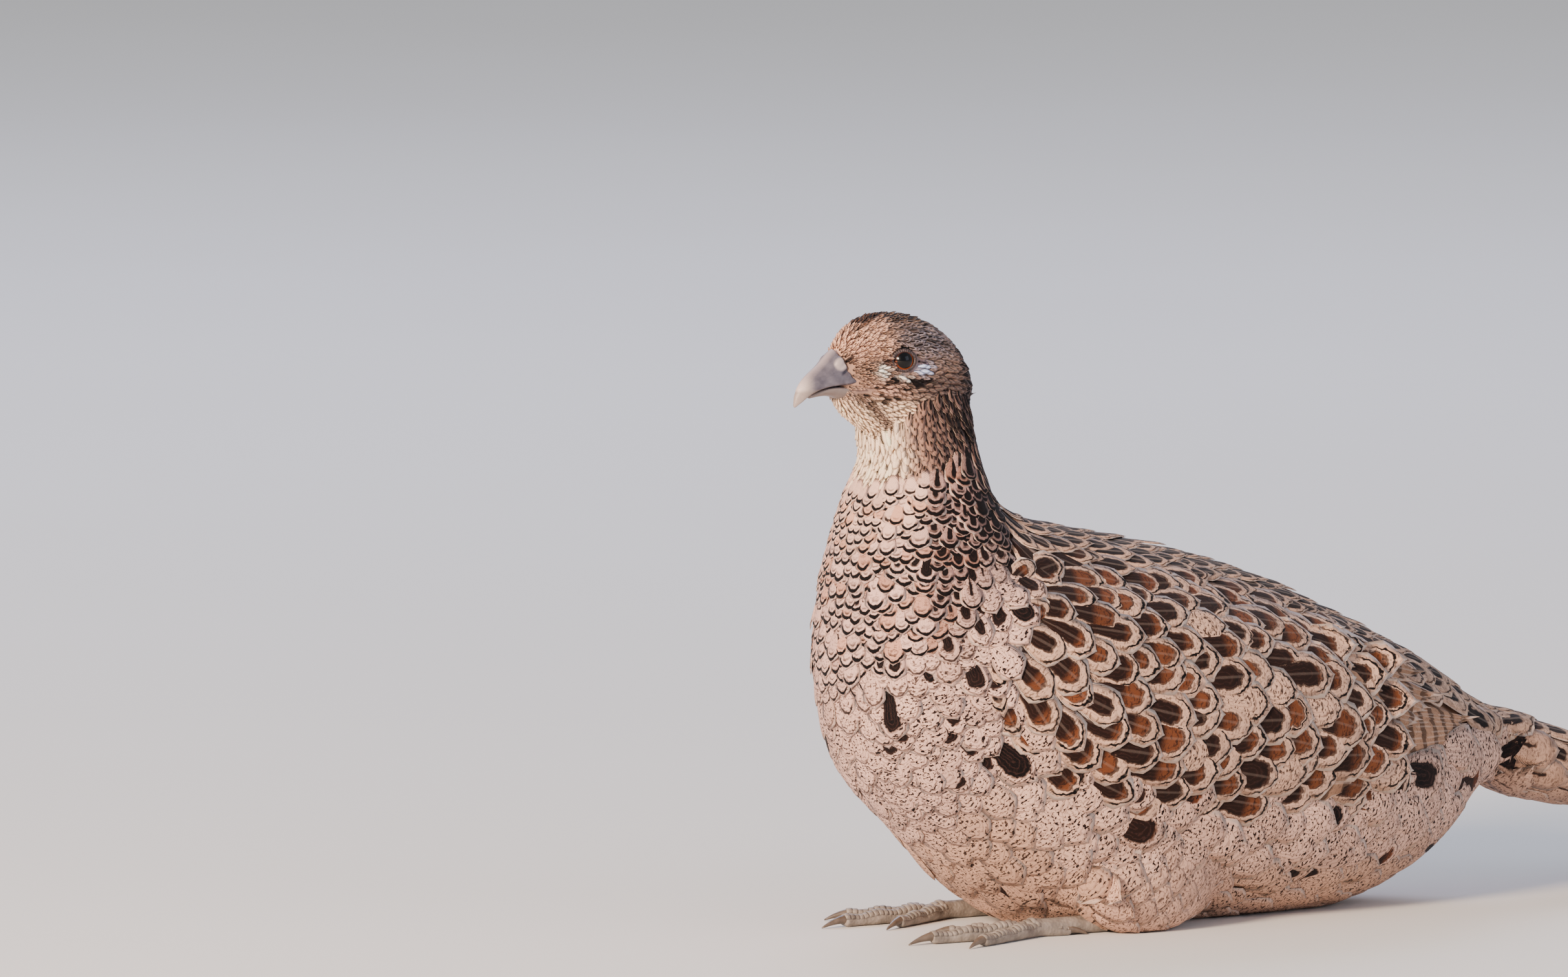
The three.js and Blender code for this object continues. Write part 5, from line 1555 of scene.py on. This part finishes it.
# %% Build the feet
for side_name, side in SIDES.items():
    parts, claws, scute_at, scute_lie, scute_size = [], [], [], [], []
    for degrees, length, claw, thick in TOES:
        points, along, distance, radius, height = toe_rings(side, degrees, length, claw, thick, False)
        parts.append(loft(points))
        claws.append(loft(toe_rings(side, degrees, length, claw, thick, True)[0]))
        for reach in np.arange(2.0, length - 0.5, SCUTE_SPACING):
            r, z = np.interp(reach, distance, radius), np.interp(reach, distance, height)
            scute_at.append(np.array([FOOT["x"], side * FOOT["side"], z]) + along * reach)
            scute_lie.append(along)
            scute_size.append([r, SCUTE_LONG, r])
    d, t = np.meshgrid(np.linspace(0, FOOT["shank"], 8), full_turn(20), indexing="ij")
    parts.append(loft(np.stack([
        FOOT["x"] + d, side * FOOT["side"] + FOOT["radius"] * np.cos(t),
        FOOT["radius"] + FOOT["radius"] * np.sin(t)], axis=-1)))
    foot = melted("foot_skin_" + side_name, parts, FOOT_VOXEL, 3)
    foot.data.materials.append(foot_material)
    cloud = mesh_piece("scutes_" + side_name, np.array(scute_at), [])
    attach("lie", cloud, scute_lie)
    attach("size", cloud, np.array(scute_size) * MM)
    layer = cloud.modifiers.new("scutes", "NODES")
    layer.node_group = scute_tree
    layer[SCUTE_INPUTS["Scute"]] = scute
    layer[SCUTE_INPUTS["Material"]] = foot_material
    bake_modifiers(cloud)
    horn = mesh_piece("claws_" + side_name, *joined(claws), claw_material)
    tidy_normals(horn)
    for piece in (foot, cloud, horn):
        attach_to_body(piece, "root")
    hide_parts("foot_" + side_name)
bpy.data.objects.remove(scute)
for vane in vanes.values():
    bpy.data.objects.remove(vane)
print("feet:", len(TOES), "toes and", len(scute_at), "scutes on each")

# %% [markdown]
# ## Floor, light and camera
#
# A museum piece on a plain pale floor under soft boxes. The main light is low and warm from the bird's
# front left, where the sun stands in the picture. The camera is far off with a long lens, as the picture
# was taken, 32 degrees round to the bird's front from its left side and 6 degrees up.

# %% Make the floor
FLOOR_HALF = 30 / MM
floor_material, tree = new_material("pale_matt_floor")
place = add(tree, "ShaderNodeTexCoord").outputs["Object"]
soft_stain = add(tree, "ShaderNodeTexNoise", {"Vector": place, "Scale": 3.0})
ramp = add(tree, "ShaderNodeValToRGB", {"Fac": soft_stain.outputs["Fac"]})
ramp.color_ramp.elements[0].color = linear("#E6E3DE")
ramp.color_ramp.elements[1].color = linear("#EAE8E4")
shader = add(tree, "ShaderNodeBsdfPrincipled",
             {"Base Color": ramp.outputs[0], "Roughness": 0.9, "Specular IOR Level": 0.1})
add(tree, "ShaderNodeOutputMaterial", {"Surface": shader})
corners = [(-FLOOR_HALF, -FLOOR_HALF, 0), (FLOOR_HALF, -FLOOR_HALF, 0),
           (FLOOR_HALF, FLOOR_HALF, 0), (-FLOOR_HALF, FLOOR_HALF, 0)]
floor = mesh_piece("floor", corners, [(0, 1, 2, 3)], floor_material)
print("floor:", 2 * FLOOR_HALF * MM, "m wide")


# %% Set the lights
def soft_box(name, at, watts, size, colour):
    """A square soft light that faces the bird."""
    light = bpy.data.lights.new(name, "AREA")
    light.energy = watts
    light.size = size
    light.color = linear(colour)[:3]
    lamp = bpy.data.objects.new(name, light)
    lamp.location = at
    lamp.rotation_euler = (Vector((0, 0, 0.1)) - Vector(at)).to_track_quat("-Z", "Y").to_euler()
    bpy.context.scene.collection.objects.link(lamp)


# where each stands in metres, its watts, its width and its colour
soft_box("main_light", (-2.5, -1.15, 1.15), 185, 0.6, "#FFE3C8")
soft_box("fill_light", (1.2, -2.4, 1.2), 16, 1.8, "#DDE6FF")
soft_box("back_light", (0.8, 2.0, 2.0), 42, 1.5, "#D4DCFF")
world = bpy.data.worlds.new("studio_air")
bpy.context.scene.world = world
world.use_nodes = True
air = world.node_tree.nodes["Background"]
air.inputs["Color"].default_value = linear("#DDE2EC")
air.inputs["Strength"].default_value = 0.72
print("lights:", len(bpy.data.lights))

# %% Place the camera
AZIMUTH, ELEVATION, DISTANCE = math.radians(-32), math.radians(6), 8.0
PICTURE_WIDE = 0.5274  # metres across the picture at the bird
FEET_AT = Vector((-0.056, 0, 0))
MIDDLE_RIGHT, MIDDLE_UP = -0.0863, 0.1465  # the picture's middle, seen from the feet
back = Vector((math.sin(AZIMUTH) * math.cos(ELEVATION), -math.cos(AZIMUTH) * math.cos(ELEVATION),
               math.sin(ELEVATION)))
right = Vector((math.cos(AZIMUTH), math.sin(AZIMUTH), 0))
up = back.cross(right)
target = FEET_AT + MIDDLE_RIGHT * right + MIDDLE_UP * up
camera = bpy.data.cameras.new("camera")
camera.sensor_width = 36
camera.lens = camera.sensor_width * DISTANCE / PICTURE_WIDE
camera.clip_end = 100
eye_point = bpy.data.objects.new("camera", camera)
eye_point.location = target + back * DISTANCE
eye_point.rotation_euler = back.to_track_quat("Z", "Y").to_euler()
bpy.context.scene.collection.objects.link(eye_point)
bpy.context.scene.camera = eye_point
print("camera", tuple(round(x, 3) for x in eye_point.location))
